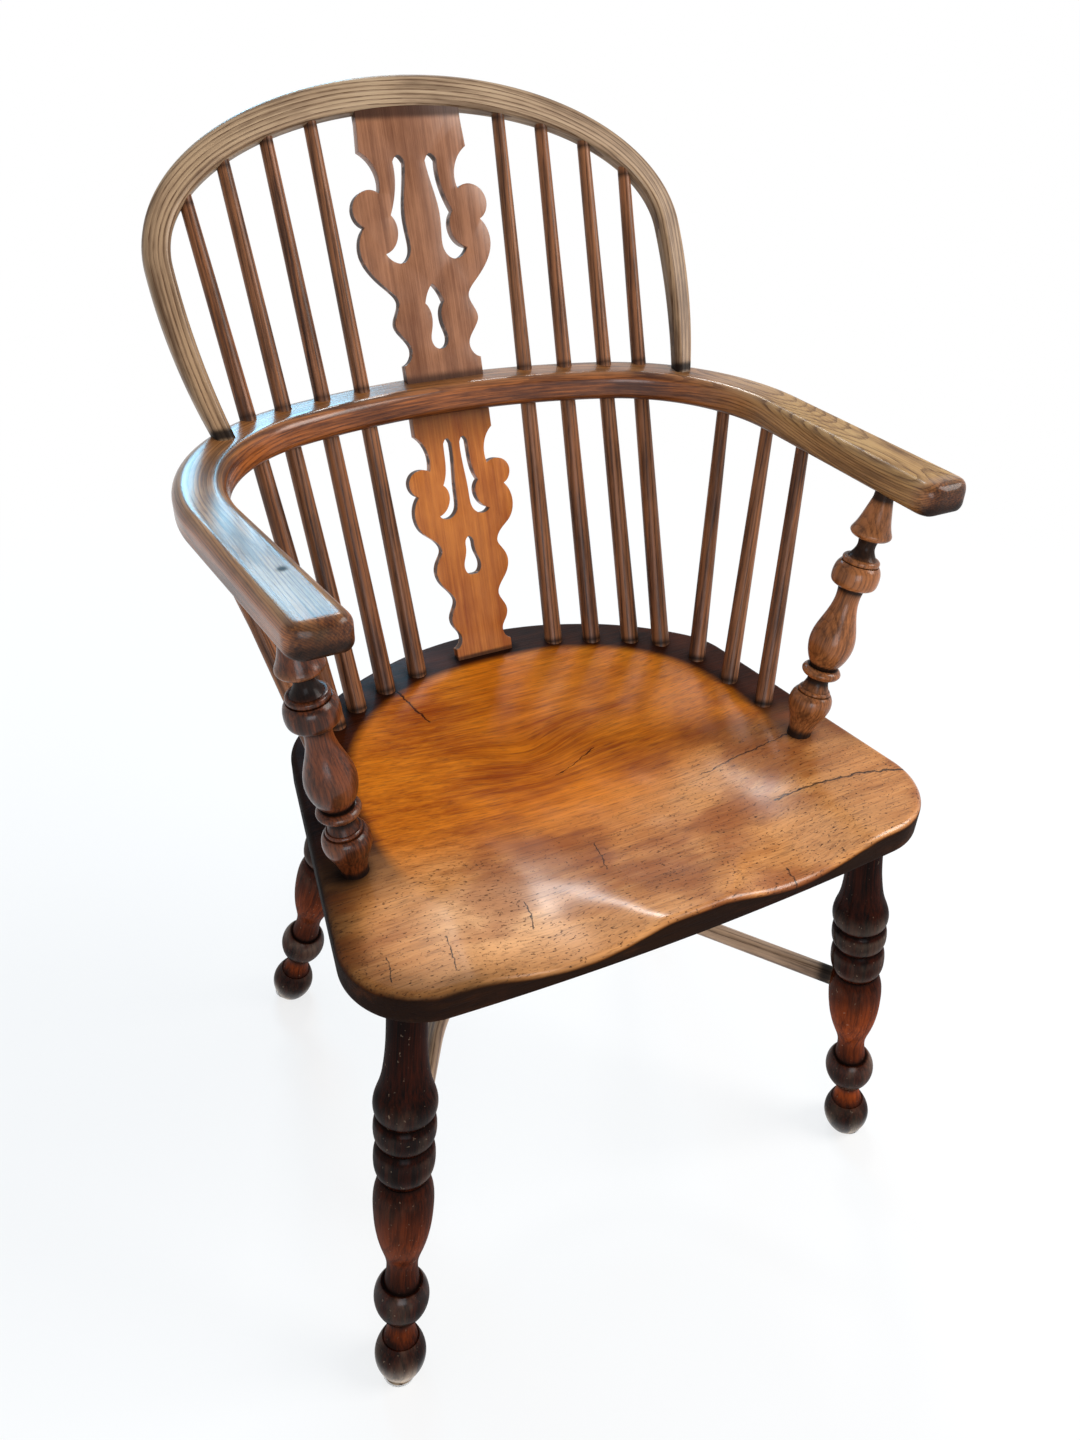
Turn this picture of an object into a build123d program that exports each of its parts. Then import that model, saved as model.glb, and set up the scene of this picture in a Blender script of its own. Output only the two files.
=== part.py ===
from build123d import *
import os
from math import acos, asin, atan2, cos, degrees, radians, sin, sqrt, tan

# A double-bow windsor armchair, in millimetres: a saddled plank seat on four turned legs, a bent arm bow,
# a bent back hoop and two fretted splats, all held by glued tenons. +X is to the right for someone who
# faces the chair, +Y runs from the front of the seat to its back and +Z is up. Pieces are laid out from
# the line through the seat's front corners. At the end they move together, so that the origin lies on
# the floor under the middle of the chair.

# Seat plank: height and depth of its flat rim, half widths, edges and hollows
SEAT_HEIGHT = 449.0
SEAT_THICKNESS = 38.0
SEAT_DEPTH = 405.0
SEAT_SIDE_LENGTH = 300.0
SEAT_FRONT_HALF = 260.0
SEAT_WAIST_HALF = 214.0
SEAT_FRONT_SWELL = 13.0
SEAT_FRONT_CORNER_R = 62.0
SEAT_BACK_CORNER_R = 70.0
SEAT_TOP_ROUND = 5.5
SEAT_BEVEL = 13.0
DISH_SETBACK = 171.0
DISH_RADIUS = 180.0
DISH_DEPTH = 16.0
HOLLOW_HALF_GAP = 98.0
HOLLOW_HALF_WIDTH = 62.0
HOLLOW_FRONT_DEPTH = 13.0
HOLLOW_RISE_ANGLE = 2.8

# Legs: where they enter the seat, how far they spread, and their turning
FRONT_SOCKET_IN = 52.5
FRONT_SOCKET_BACK = 40.0
REAR_SOCKET_IN = 74.0
REAR_SOCKET_FORWARD = 64.0
FRONT_SPLAY = 47.0
FRONT_RAKE = {"left": 53.0, "right": 30.0}
REAR_SPLAY = 81.0
REAR_RAKE = 95.0
LEG_TENON = 15.0
LEG_TENON_DIA = 28.0
FOOT_ALLOWANCE = 12.0

# Leg turning from the floor up: runs of (distance along the leg, diameter) between sharp edges
LEG_PATTERN_LENGTH = 418.0
LEG_PATTERN = (
    ((0, 28), (11, 39), (23.5, 44), (36, 39.5), (45, 32)),
    ((45, 30), (53, 24.5), (62, 21.5), (70, 23)),
    ((70, 23), (80, 37), (97, 46), (108, 42), (114, 35)),
    ((114, 30), (126, 26.5), (139, 26), (160, 36), (183, 45), (205, 48), (222, 46.6), (237, 38)),
    ((237, 37), (247, 46), (258, 48), (268, 46), (274, 41)),
    ((274, 41), (281, 47), (289, 48.5), (297, 46.5), (301, 42)),
    ((301, 42), (306, 47), (312, 49), (330, 41), (349, 34), (368, 31), (400, 30)),
)

# Arm bow: height of its top, section, and its plan of two arms, two corner arcs and a flatter back arc.
# The arms are bent by hand, so each turns in by its own angle, and both widen a little to the front.
ARM_HEIGHT = 692.0
ARM_THICKNESS = 25.5
ARM_WIDTH = 40.0
ARM_HALF_SPREAD = 253.0
ARM_CORNER_R = 150.0
ARM_TOE_IN = {"left": 7.5, "right": -2.0}
ARM_FLARE = 0.7
ARM_OVERHANG = 53.0
ARM_END_R = 14.0
ARM_TOP_ROUND = 9.0
ARM_UNDER_ROUND = 6.0
BOW_CROWN = 16.0

# Back: lean of the splats and the hoop that closes them at the top
BACK_LEAN = 19.0
SPLAT_INSET = 36.0
HOOP_RISE = 270.0
HOOP_SHOULDER = 131.0
HOOP_HALF = 240.0
HOOP_END_HALF = 213.0
HOOP_TOP_WIDTH = 26.0
HOOP_SIDE_WIDTH = 21.0
HOOP_END_WIDTH = 16.0
HOOP_THICKNESS = 16.0
HOOP_EDGE_ROUND = 5.0
HOOP_END_OUT = 5.0
HOOP_SINK = 14.0
HOOP_TENON = 20.0
HOOP_TENON_DIA = 15.0

# Splats: thickness, tenons, and fretted outlines of (distance from the middle, height) for the right half
SPLAT_THICKNESS = 10.0
SPLAT_SEAT_TENON = 16.0
SPLAT_BOW_TENON = 9.0
SPLAT_HOOP_TENON = 8.0
SPLAT_TAB_PARALLEL = 10.0
LOWER_PATTERN_HEIGHT = 230.0
LOWER_FOOT_HALF = 28.2
LOWER_TAB_HALF = 37.5
LOWER_SIDE = (
    ((LOWER_FOOT_HALF, 0), (LOWER_FOOT_HALF, 9.2)),
    ((LOWER_FOOT_HALF, 9.2), (22.6, 14), (21.8, 22), (27, 31), (28.5, 39), (25, 47.5), (22.2, 55), (26, 64),
     (33.5, 74), (36.3, 87), (32, 97), (28.3, 104), (32, 113), (44, 124), (49, 137), (47.6, 148), (42.4, 156.5)),
    ((42.4, 156.5), (48.4, 162), (49.8, 170), (45.5, 177.5), (38, 180.3), (28.2, 177.5)),
    ((28.2, 177.5), (26.9, 187), (29, 198), (LOWER_TAB_HALF, 209.4)),
)
LOWER_SLOT = (
    ((11.8, 200), (12.2, 186), (13.5, 174), (17.5, 163.5)),
    ((17.5, 163.5), (13.4, 157), (14.5, 146), (25, 136.4)),
    ((25, 136.4), (20, 132.9), (14, 133.4), (8, 139), (6.2, 150), (5.8, 163), (4.4, 180), (4, 199.5)),
    ((4, 199.5), (7.9, 204.5), (11.8, 200)),
)
LOWER_KEYHOLE = (
    ((0, 114), (4, 109), (4.3, 103), (6, 95), (8.3, 87), (6.5, 80), (0, 77.7)),
)
UPPER_PATTERN_HEIGHT = 217.0
UPPER_FOOT_HALF = 36.5
UPPER_TAB_HALF = 46.3
UPPER_SIDE = (
    ((UPPER_FOOT_HALF, 0), (UPPER_FOOT_HALF, 14)),
    ((UPPER_FOOT_HALF, 14), (29.5, 19), (27.4, 25.5), (33, 37), (39, 48), (35, 59), (32.8, 66), (41, 78),
     (53, 91), (60, 106), (59.5, 117), (53, 128)),
    ((53, 128), (59.5, 134), (61.2, 142), (57, 151.5), (48, 156.5), (35.8, 153.5)),
    ((35.8, 153.5), (34.2, 162), (37, 174), (48, 186)),
)
UPPER_SLOT = (
    ((19.8, 177), (20, 162), (23, 149), (28.3, 136)),
    ((28.3, 136), (24.2, 127.5), (26.5, 114.5), (37.6, 106)),
    ((37.6, 106), (31.5, 99.5), (24, 97.6), (16.6, 103.5), (15.2, 119), (15.8, 138), (11.8, 160), (9.1, 176.5)),
    ((9.1, 176.5), (14.4, 182), (19.8, 177)),
)
UPPER_KEYHOLE = (
    ((0, 79.5), (5, 73), (8.8, 63.5)),
    ((8.8, 63.5), (4.9, 56), (5.6, 43), (7.8, 33), (5.5, 27), (0, 24.8)),
)

# Spindles: long ones from the seat through the bow to the hoop, and short ones under the arms, which stand
# at shares of the way from the arm support to the back of the seat and, at the top, to the back of the bow
DECK_INSET = 34.0
LONG_FEET = (72.0, 108.0, 142.0, 167.0)
LONG_TOPS = (84.0, 123.0, 161.5, 197.0)
LONG_FOOT_DIA = 17.4
LONG_BOW_DIA = 14.0
LONG_TOP_DIA = 11.0
ARM_SPINDLE_FOOT_SHARES = (0.520, 0.355, 0.190)
ARM_SPINDLE_TOP_SHARES = (0.684, 0.528, 0.372)
ARM_SPINDLE_FOOT_DIA = 16.0
ARM_SPINDLE_TOP_DIA = 11.5
SPINDLE_SEAT_TENON = 13.0
SPINDLE_HOOP_TENON = 11.0
ARM_TENON = 15.0

# Turned arm supports: foot on the seat, place under the arm, and their turning from the seat up
SUPPORT_FOOT_BACK = 132.0
SUPPORT_FOOT_INSET = {"left": 28.0, "right": 41.0}
SUPPORT_RAKE = 6.0
SUPPORT_TOP_IN = {"left": -2.0, "right": 12.5}
SUPPORT_TENON = 22.0
SUPPORT_FOOT_DIA = 21.0
SUPPORT_TOP_DIA = 16.3
SUPPORT_PLAIN = 5.0
SUPPORT_PATTERN_LENGTH = 220.0
SUPPORT_PATTERN = (
    ((SUPPORT_PLAIN, SUPPORT_FOOT_DIA), (17, 28), (32, 37), (40, 34), (44.5, 27)),
    ((44.5, 25), (49, 20.5), (53, 18.5), (57, 20)),
    ((57, 24), (59, 31.5), (61.5, 33.5), (64, 31.5), (66, 24)),
    ((66, 22), (76, 33), (89.5, 38), (103, 33), (117, 24), (131, 20), (141, 22.5)),
    ((141, 33), (143, 37), (151, 39), (160, 35.5), (166, 29)),
    ((166, 26), (170, 19), (175, 14.7), (182, 17)),
    ((182, 23), (187.5, 34)),
    ((187.5, 34), (195, 27), (205, 21), (215, SUPPORT_TOP_DIA)),
)

# Stretchers: a bow from front leg to front leg, bent a little to one side, and two stubs to the rear legs
STRETCHER_HEIGHT = 213.0
STRETCHER_DIA = 17.0
STRETCHER_BEND_R = 179.0
STRETCHER_REACH = 347.0
STRETCHER_ASIDE = -16.5
STRETCHER_END_SHY = 6.0
STUB_HALF_SPAN = 92.0
STUB_DIA = 15.0
STUB_BOW_DIA = 10.0
STUB_LEG_DIA = 13.0
STUB_TAPER = 30.0
STUB_DEPTH = 3.0
STUB_END_SHY = 8.0

# Fits: room for glue round a tenon and past its end
GLUE_LINE = 0.1
END_GAP = 0.5

SIDES = {"left": -1, "right": 1}
HALF_TURN = 180.0

# Places that follow from the sizes above
LEAN = radians(BACK_LEAN)
SEAT_UNDERSIDE = SEAT_HEIGHT - SEAT_THICKNESS
ARM_UNDERSIDE = ARM_HEIGHT - ARM_THICKNESS
ARM_MIDDLE = ARM_HEIGHT - ARM_THICKNESS / 2
SEAT_ROUND = SEAT_DEPTH - SEAT_SIDE_LENGTH
SEAT_BACK_R = (SEAT_WAIST_HALF**2 + SEAT_ROUND**2) / (2 * SEAT_ROUND)
SPLAT_Y = SEAT_DEPTH - SPLAT_INSET
BOW_BACK_Y = SPLAT_Y + tan(LEAN) * (ARM_MIDDLE - SEAT_HEIGHT)
BOW_CORNER = (ARM_HALF_SPREAD - ARM_CORNER_R, BOW_BACK_Y - BOW_CROWN - ARM_CORNER_R)
BOW_DROP = BOW_CROWN + ARM_CORNER_R
BOW_BACK_R = (BOW_CORNER[0]**2 + BOW_DROP**2 - ARM_CORNER_R**2) / (2 * BOW_CROWN)
BOW_TURN = degrees(atan2(BOW_BACK_R - BOW_DROP, BOW_CORNER[0]))
SUPPORT_TOP_Y = SUPPORT_FOOT_BACK + SUPPORT_RAKE
ARM_END_Y = SUPPORT_TOP_Y - ARM_OVERHANG

# The hoop's feet stand on the bow's corner arcs, and it leans so that its crown meets the splats' plane
HOOP_CROWN_INNER = HOOP_RISE - HOOP_TOP_WIDTH
HOOP_FOOT_R = ARM_CORNER_R + HOOP_END_OUT
HOOP_FOOT_Y = BOW_CORNER[1] + HOOP_FOOT_R * sin(acos((HOOP_END_HALF - BOW_CORNER[0]) / HOOP_FOOT_R))
HOOP_LAG = SPLAT_Y + tan(LEAN) * (ARM_HEIGHT - SEAT_HEIGHT) - HOOP_FOOT_Y
HOOP_LEAN = LEAN + asin(HOOP_LAG * cos(LEAN) / HOOP_CROWN_INNER)

LOWER_GAP = (ARM_UNDERSIDE - SEAT_HEIGHT) / cos(LEAN)
UPPER_START = (ARM_HEIGHT - SEAT_HEIGHT) / cos(LEAN)
UPPER_GAP = HOOP_CROWN_INNER * cos(HOOP_LEAN) / cos(LEAN)


def leaning_plane(y, z, angle):
    """Plane across the chair that leans back by angle: its x is across, its y runs up the lean."""
    return Plane(origin=(0, y, z), x_dir=(1, 0, 0), z_dir=(0, -cos(angle), sin(angle)))


BACK_PLANE = leaning_plane(SPLAT_Y, SEAT_HEIGHT, LEAN)
HOOP_PLANE = leaning_plane(HOOP_FOOT_Y, ARM_HEIGHT, HOOP_LEAN)


def polar(centre, radius, angle):
    """Point at a radius and an angle in degrees from a centre."""
    return (centre[0] + radius * cos(radians(angle)), centre[1] + radius * sin(radians(angle)))


def curve(points):
    """Straight line through two points, or a smooth curve through more."""
    return Line(*points) if len(points) == 2 else Spline(*points)


def across(edges):
    """The same edges on the other side of the chair's middle."""
    return [mirror(edge, about=Plane.YZ) for edge in edges]


def stretched(runs, factor):
    """A pattern's runs with the first number of each point, its distance along, multiplied."""
    return [[(along * factor, size) for along, size in run] for run in runs]


def turned(foot, tip, runs, grow=0.0):
    """Solid turned about the line from foot to tip, through runs of (distance from foot, diameter)."""
    points = [[(size / 2 + grow, 0, along) for along, size in run] for run in runs]
    edges = [curve(run) for run in points]
    for before, after in zip(points, points[1:]):
        if before[-1] != after[0]:
            edges.append(Line(before[-1], after[0]))
    start, end = points[0][0], points[-1][-1]
    edges.append(Line((0, 0, start[2]), start))
    edges.append(Line(end, (0, 0, end[2])))
    edges.append(Line((0, 0, end[2]), (0, 0, start[2])))
    blank = revolve(make_face(edges), Axis.Z)
    return Plane(origin=foot, z_dir=Vector(*tip) - Vector(*foot)) * blank


def socket(foot, tip, run, gap_start=0.0, gap_end=0.0):
    """Cutter for a straight tenon: its run grown by the glue line, longer by a gap at its buried ends."""
    (start, start_dia), (end, end_dia) = run[0], run[-1]
    longer = [(start - gap_start, start_dia), *run, (end + gap_end, end_dia)]
    steps = [pair for pair in zip(longer, longer[1:]) if pair[0][0] != pair[1][0]]
    return turned(foot, tip, steps, GLUE_LINE)


def seat_side(y):
    """Half width of the seat's straight side at a depth y."""
    return SEAT_FRONT_HALF + (SEAT_WAIST_HALF - SEAT_FRONT_HALF) * y / SEAT_SIDE_LENGTH


def seat_back(x):
    """Depth of the seat's rounded back edge at a distance x from the middle."""
    return SEAT_DEPTH - SEAT_BACK_R + sqrt(SEAT_BACK_R**2 - x**2)


def bow_line(y, side):
    """Distance of the arm bow's middle line from the chair's middle, on an arm or a corner arc."""
    start = polar(BOW_CORNER, ARM_CORNER_R, -ARM_TOE_IN[side])
    if y < start[1]:
        return start[0] - (start[1] - y) * tan(radians(ARM_TOE_IN[side]))
    return BOW_CORNER[0] + sqrt(ARM_CORNER_R**2 - (y - BOW_CORNER[1])**2)


def hoop_flank(half, end_half, height):
    """Half width of a hoop edge below its shoulder: an arc that is upright there and reaches end_half at 0."""
    inset = half - end_half
    radius = (HOOP_SHOULDER**2 + inset**2) / (2 * inset)
    return half - radius + sqrt(radius**2 - (HOOP_SHOULDER - height)**2)


def hoop_inner(x):
    """Height up the hoop of its inner edge at a distance x from the middle."""
    half = HOOP_HALF - HOOP_SIDE_WIDTH
    return HOOP_SHOULDER + (HOOP_CROWN_INNER - HOOP_SHOULDER) * sqrt(1 - (x / half)**2)


def legs():
    """Each leg's name, solid, seat socket, foot on the floor and the point where it enters the seat."""
    made = []
    for side, sign in SIDES.items():
        front = (sign * (SEAT_FRONT_HALF - FRONT_SOCKET_IN), FRONT_SOCKET_BACK, SEAT_UNDERSIDE)
        rear = (sign * (SEAT_WAIST_HALF - REAR_SOCKET_IN), SEAT_DEPTH - REAR_SOCKET_FORWARD, SEAT_UNDERSIDE)
        front_foot = (front[0] + sign * FRONT_SPLAY, front[1] - FRONT_RAKE[side], 0)
        rear_foot = (rear[0] + sign * REAR_SPLAY, rear[1] + REAR_RAKE, 0)
        for name, foot, top in ((f"front_{side}_leg", front_foot, front), (f"rear_{side}_leg", rear_foot, rear)):
            length = (Vector(*top) - Vector(*foot)).length
            runs = stretched(LEG_PATTERN, length / LEG_PATTERN_LENGTH)
            first, last = runs[0][0], runs[-1][-1]
            runs.insert(0, [(-FOOT_ALLOWANCE, first[1]), first])
            tenon = [last, (length + LEG_TENON, LEG_TENON_DIA)]
            leg = turned(foot, top, runs + [tenon])
            leg -= Pos(foot) * Box(*[LEG_PATTERN_LENGTH / 2] * 3, align=(Align.CENTER, Align.CENTER, Align.MAX))
            made.append((name, leg, socket(foot, top, tenon, gap_end=END_GAP), foot, top))
    return made


def make_seat():
    """Plank with rounded corners and edges, dished for the sitter, with a hollow for each thigh."""
    corners = [(SEAT_FRONT_HALF, 0), (SEAT_WAIST_HALF, SEAT_SIDE_LENGTH)]
    left = [(-x, y) for x, y in corners]
    front = ThreePointArc(left[0], (0, -SEAT_FRONT_SWELL), corners[0])
    back = ThreePointArc(corners[1], (0, SEAT_DEPTH), left[1])
    outline = make_face([front, Line(*corners), back, Line(*left)])
    outline = fillet(outline.vertices().sort_by(Axis.Y)[:2], SEAT_FRONT_CORNER_R)
    outline = fillet(outline.vertices().sort_by(Axis.Y)[-2:], SEAT_BACK_CORNER_R)
    plank = Pos(0, 0, SEAT_UNDERSIDE) * extrude(outline, SEAT_THICKNESS, dir=(0, 0, 1))
    plank = fillet(plank.faces().sort_by(Axis.Z)[-1].edges(), SEAT_TOP_ROUND)
    plank = chamfer(plank.faces().sort_by(Axis.Z)[0].edges(), SEAT_BEVEL)
    ball = (DISH_RADIUS**2 + DISH_DEPTH**2) / (2 * DISH_DEPTH)
    plank -= Pos(0, DISH_SETBACK, SEAT_HEIGHT + ball - DISH_DEPTH) * Sphere(ball)
    drum = (HOLLOW_HALF_WIDTH**2 + HOLLOW_FRONT_DEPTH**2) / (2 * HOLLOW_FRONT_DEPTH)
    climb = radians(HOLLOW_RISE_ANGLE)
    for sign in SIDES.values():
        start = (sign * HOLLOW_HALF_GAP, 0, SEAT_HEIGHT + drum - HOLLOW_FRONT_DEPTH)
        run = Plane(origin=start, z_dir=(0, cos(climb), sin(climb)))
        plank -= run * Cylinder(drum, 2 * SEAT_DEPTH)
    return plank


def bow_edge(offset, flare):
    """One long edge of the arm bow's plan, moved outward by offset, from left arm end to right arm end."""
    edges = []
    ends = []
    radius = ARM_CORNER_R + offset
    shoulder = polar(BOW_CORNER, radius, BOW_TURN)
    for side, sign in SIDES.items():
        toe = ARM_TOE_IN[side] - flare
        start = polar(BOW_CORNER, radius, -toe)
        middle = polar(BOW_CORNER, radius, (BOW_TURN - toe) / 2)
        end = (start[0] - (start[1] - ARM_END_Y) * tan(radians(toe)), ARM_END_Y)
        end, start, middle, top = ((sign * x, y) for x, y in (end, start, middle, shoulder))
        edges += [Line(end, start), ThreePointArc(start, middle, top)]
        ends.append(end)
    back = ThreePointArc((-shoulder[0], shoulder[1]), (0, BOW_BACK_Y + offset), shoulder)
    return [*edges, back], ends


def make_arm_bow():
    """One bent rail: both arms and the back rail that the hoop stands on, with softened edges."""
    outer, outer_ends = bow_edge(ARM_WIDTH / 2, ARM_FLARE)
    inner, inner_ends = bow_edge(-ARM_WIDTH / 2, -ARM_FLARE)
    ends = [Line(*pair) for pair in zip(outer_ends, inner_ends)]
    plan = make_face([*outer, *inner, *ends])
    plan = fillet(plan.vertices().sort_by(Axis.Y)[:4], ARM_END_R)
    bow = Pos(0, 0, ARM_UNDERSIDE) * extrude(plan, ARM_THICKNESS, dir=(0, 0, 1))
    bow = fillet(bow.faces().sort_by(Axis.Z)[-1].edges(), ARM_TOP_ROUND)
    return fillet(bow.faces().sort_by(Axis.Z)[0].edges(), ARM_UNDER_ROUND)


def hoop_tenon_axis(sign):
    """Two points of a hoop foot's middle line: on the bow's top and further down inside it."""
    outer_end = HOOP_END_HALF + HOOP_END_WIDTH / 2
    inner_end = HOOP_END_HALF - HOOP_END_WIDTH / 2
    points = []
    for height in (0, -HOOP_SINK):
        outer = hoop_flank(HOOP_HALF, outer_end, height)
        inner = hoop_flank(HOOP_HALF - HOOP_SIDE_WIDTH, inner_end, height)
        points.append(tuple(HOOP_PLANE.from_local_coords((sign * (outer + inner) / 2, height, 0))))
    return points


def make_hoop():
    """Bent hoop, widest at its crown, with a round tenon at each foot. Returns it and its two sockets."""
    edges = []
    ends = []
    for half, rise, end_half in (
        (HOOP_HALF, HOOP_RISE, HOOP_END_HALF + HOOP_END_WIDTH / 2),
        (HOOP_HALF - HOOP_SIDE_WIDTH, HOOP_CROWN_INNER, HOOP_END_HALF - HOOP_END_WIDTH / 2),
    ):
        edges.append(EllipticalCenterArc((0, HOOP_SHOULDER), half, rise - HOOP_SHOULDER, arc_size=HALF_TURN))
        heights = (HOOP_SHOULDER, (HOOP_SHOULDER - HOOP_SINK) / 2, -HOOP_SINK)
        flank = [(hoop_flank(half, end_half, height), height) for height in heights]
        arc = ThreePointArc(*flank)
        edges += [arc, *across([arc])]
        ends.append(flank[-1])
    foot = [Line(*ends)]
    blank = extrude(make_face([*edges, *foot, *across(foot)]), HOOP_THICKNESS / 2, both=True)
    rims = [edge for edge in blank.edges().filter_by(Plane.XY) if edge.length > 2 * HOOP_END_WIDTH]
    hoop = HOOP_PLANE * fillet(rims, HOOP_EDGE_ROUND)
    below = Box(4 * HOOP_HALF, 4 * HOOP_RISE, ARM_HEIGHT, align=(Align.CENTER, Align.CENTER, Align.MIN))
    hoop -= Pos(0, HOOP_FOOT_Y, GLUE_LINE) * below
    sockets = []
    for sign in SIDES.values():
        foot, deeper = hoop_tenon_axis(sign)
        run = [(-HOOP_SINK, HOOP_TENON_DIA), (HOOP_TENON, HOOP_TENON_DIA)]
        hoop += turned(foot, deeper, [run])
        sockets.append(socket(foot, deeper, run, gap_end=END_GAP))
    return hoop, sockets


def fretted(side, holes, bottom, top):
    """Board cut to a side outline and its mirror image, square at the bottom and top, with holes."""
    half = [curve(run) for run in side]
    bottom_edge = Line((-side[0][0][0], bottom), (side[0][0][0], bottom))
    top_edge = Line((-side[-1][-1][0], top), (side[-1][-1][0], top))
    board = make_face([*half, *across(half), bottom_edge, top_edge])
    for hole in holes:
        board -= make_face([curve(run) for run in hole])
    return extrude(board, SPLAT_THICKNESS / 2, both=True)


def raised(runs, factor, lift):
    """A pattern's runs with each point's height multiplied and then lifted."""
    return [[(across_by, height * factor + lift) for across_by, height in run] for run in runs]


def flipped(runs):
    """A pattern's runs on the other side of the middle line."""
    return [[(-across_by, height) for across_by, height in run] for run in runs]


def make_splat(side, slot, keyhole, factor, lift, bottom, top):
    """Splat in the back's plane: bottom and top are the ends of its tenons up the lean."""
    slot, keyhole = (raised(runs, factor, lift) for runs in (slot, keyhole))
    holes = [slot, flipped(slot), keyhole + flipped(keyhole)]
    return BACK_PLANE * fretted(side, holes, bottom, top)


def mortise(half_width, start, end):
    """Cutter for a splat's tenon between two heights up the lean."""
    width, depth = 2 * (half_width + GLUE_LINE), SPLAT_THICKNESS + 2 * GLUE_LINE
    slab = Box(width, end - start, depth, align=(Align.CENTER, Align.MIN, Align.CENTER))
    return BACK_PLANE * (Pos(0, start, 0) * slab)


def make_splats():
    """Lower and upper splats with the cutters for their mortises in the seat, the bow and the hoop."""
    factor = LOWER_GAP / LOWER_PATTERN_HEIGHT
    side = raised(LOWER_SIDE, factor, 0)
    bottom, top = -SPLAT_SEAT_TENON, LOWER_GAP + SPLAT_BOW_TENON
    side = [[(LOWER_FOOT_HALF, bottom), side[0][0]], *side, [side[-1][-1], (LOWER_TAB_HALF, top)]]
    lower = make_splat(side, LOWER_SLOT, LOWER_KEYHOLE, factor, 0, bottom, top)
    seat_cut = mortise(LOWER_FOOT_HALF, bottom - END_GAP, SPLAT_SEAT_TENON)
    under_cut = mortise(LOWER_TAB_HALF, LOWER_GAP - SPLAT_BOW_TENON, top + END_GAP)

    factor = UPPER_GAP / UPPER_PATTERN_HEIGHT
    side = raised(UPPER_SIDE, factor, UPPER_START)
    bottom, crown = UPPER_START - SPLAT_BOW_TENON, UPPER_START + UPPER_GAP
    parallel, top = crown - SPLAT_TAB_PARALLEL, crown + SPLAT_HOOP_TENON
    tab = [[side[-1][-1], (UPPER_TAB_HALF, parallel)], [(UPPER_TAB_HALF, parallel), (UPPER_TAB_HALF, top)]]
    side = [[(UPPER_FOOT_HALF, bottom), side[0][0]], *side, *tab]
    upper = make_splat(side, UPPER_SLOT, UPPER_KEYHOLE, factor, UPPER_START, bottom, top)
    over_cut = mortise(UPPER_FOOT_HALF, bottom - END_GAP, UPPER_START + SPLAT_BOW_TENON)
    hoop_cut = mortise(UPPER_TAB_HALF, parallel, top + END_GAP)
    return lower, upper, seat_cut, [under_cut, over_cut], hoop_cut


def long_spindles():
    """Name, solid and cutter of each spindle that runs from the seat through the bow into the hoop."""
    made = []
    for number, (foot_x, top_x) in enumerate(zip(LONG_FEET, LONG_TOPS), start=1):
        for side, sign in SIDES.items():
            foot = Vector(sign * foot_x, seat_back(foot_x) - DECK_INSET, SEAT_HEIGHT)
            aim = (sign * top_x, hoop_inner(top_x) + SPINDLE_HOOP_TENON / 2, 0)
            tip = HOOP_PLANE.from_local_coords(aim)
            length = (tip - foot).length
            at_bow = length * (ARM_MIDDLE - SEAT_HEIGHT) / (tip.Z - foot.Z)
            run = [(-SPINDLE_SEAT_TENON, LONG_FOOT_DIA), (0, LONG_FOOT_DIA), (at_bow, LONG_BOW_DIA),
                   (length + SPINDLE_HOOP_TENON / 2, LONG_TOP_DIA)]
            solid = turned(foot, tip, list(zip(run, run[1:])))
            made.append((f"long_spindle_{side}_{number}", solid, socket(foot, tip, run, END_GAP, END_GAP)))
    return made


def arm_spindles():
    """Name, solid and cutter of each short spindle between the seat's side and an arm."""
    made = []
    for number, shares in enumerate(zip(ARM_SPINDLE_FOOT_SHARES, ARM_SPINDLE_TOP_SHARES), start=1):
        foot_y = SUPPORT_FOOT_BACK + shares[0] * (SEAT_DEPTH - SUPPORT_FOOT_BACK)
        top_y = SUPPORT_TOP_Y + shares[1] * (BOW_BACK_Y - SUPPORT_TOP_Y)
        for side, sign in SIDES.items():
            foot = Vector(sign * (seat_side(foot_y) - DECK_INSET), foot_y, SEAT_HEIGHT)
            tip = Vector(sign * bow_line(top_y, side), top_y, ARM_UNDERSIDE)
            length = (tip - foot).length
            run = [(-SPINDLE_SEAT_TENON, ARM_SPINDLE_FOOT_DIA), (0, ARM_SPINDLE_FOOT_DIA),
                   (length, ARM_SPINDLE_TOP_DIA), (length + ARM_TENON, ARM_SPINDLE_TOP_DIA)]
            solid = turned(foot, tip, list(zip(run, run[1:])))
            made.append((f"arm_spindle_{side}_{number}", solid, socket(foot, tip, run, END_GAP, END_GAP)))
    return made


def arm_supports():
    """Name, solid and the two cutters of each turned support at the front of an arm."""
    made = []
    for side, sign in SIDES.items():
        foot_x = seat_side(SUPPORT_FOOT_BACK) - SUPPORT_FOOT_INSET[side]
        foot = Vector(sign * foot_x, SUPPORT_FOOT_BACK, SEAT_HEIGHT)
        top_x = bow_line(SUPPORT_TOP_Y, side) - SUPPORT_TOP_IN[side]
        tip = Vector(sign * top_x, SUPPORT_TOP_Y, ARM_UNDERSIDE)
        length = (tip - foot).length
        runs = stretched(SUPPORT_PATTERN, length / SUPPORT_PATTERN_LENGTH)
        foot_run = [(-SUPPORT_TENON, SUPPORT_FOOT_DIA), runs[0][0]]
        top_run = [runs[-1][-1], (length + ARM_TENON, SUPPORT_TOP_DIA)]
        solid = turned(foot, tip, [foot_run, *runs, top_run])
        cutters = socket(foot, tip, foot_run, gap_start=END_GAP), socket(foot, tip, top_run, gap_end=END_GAP)
        made.append((f"arm_support_{side}", solid, *cutters))
    return made


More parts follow.
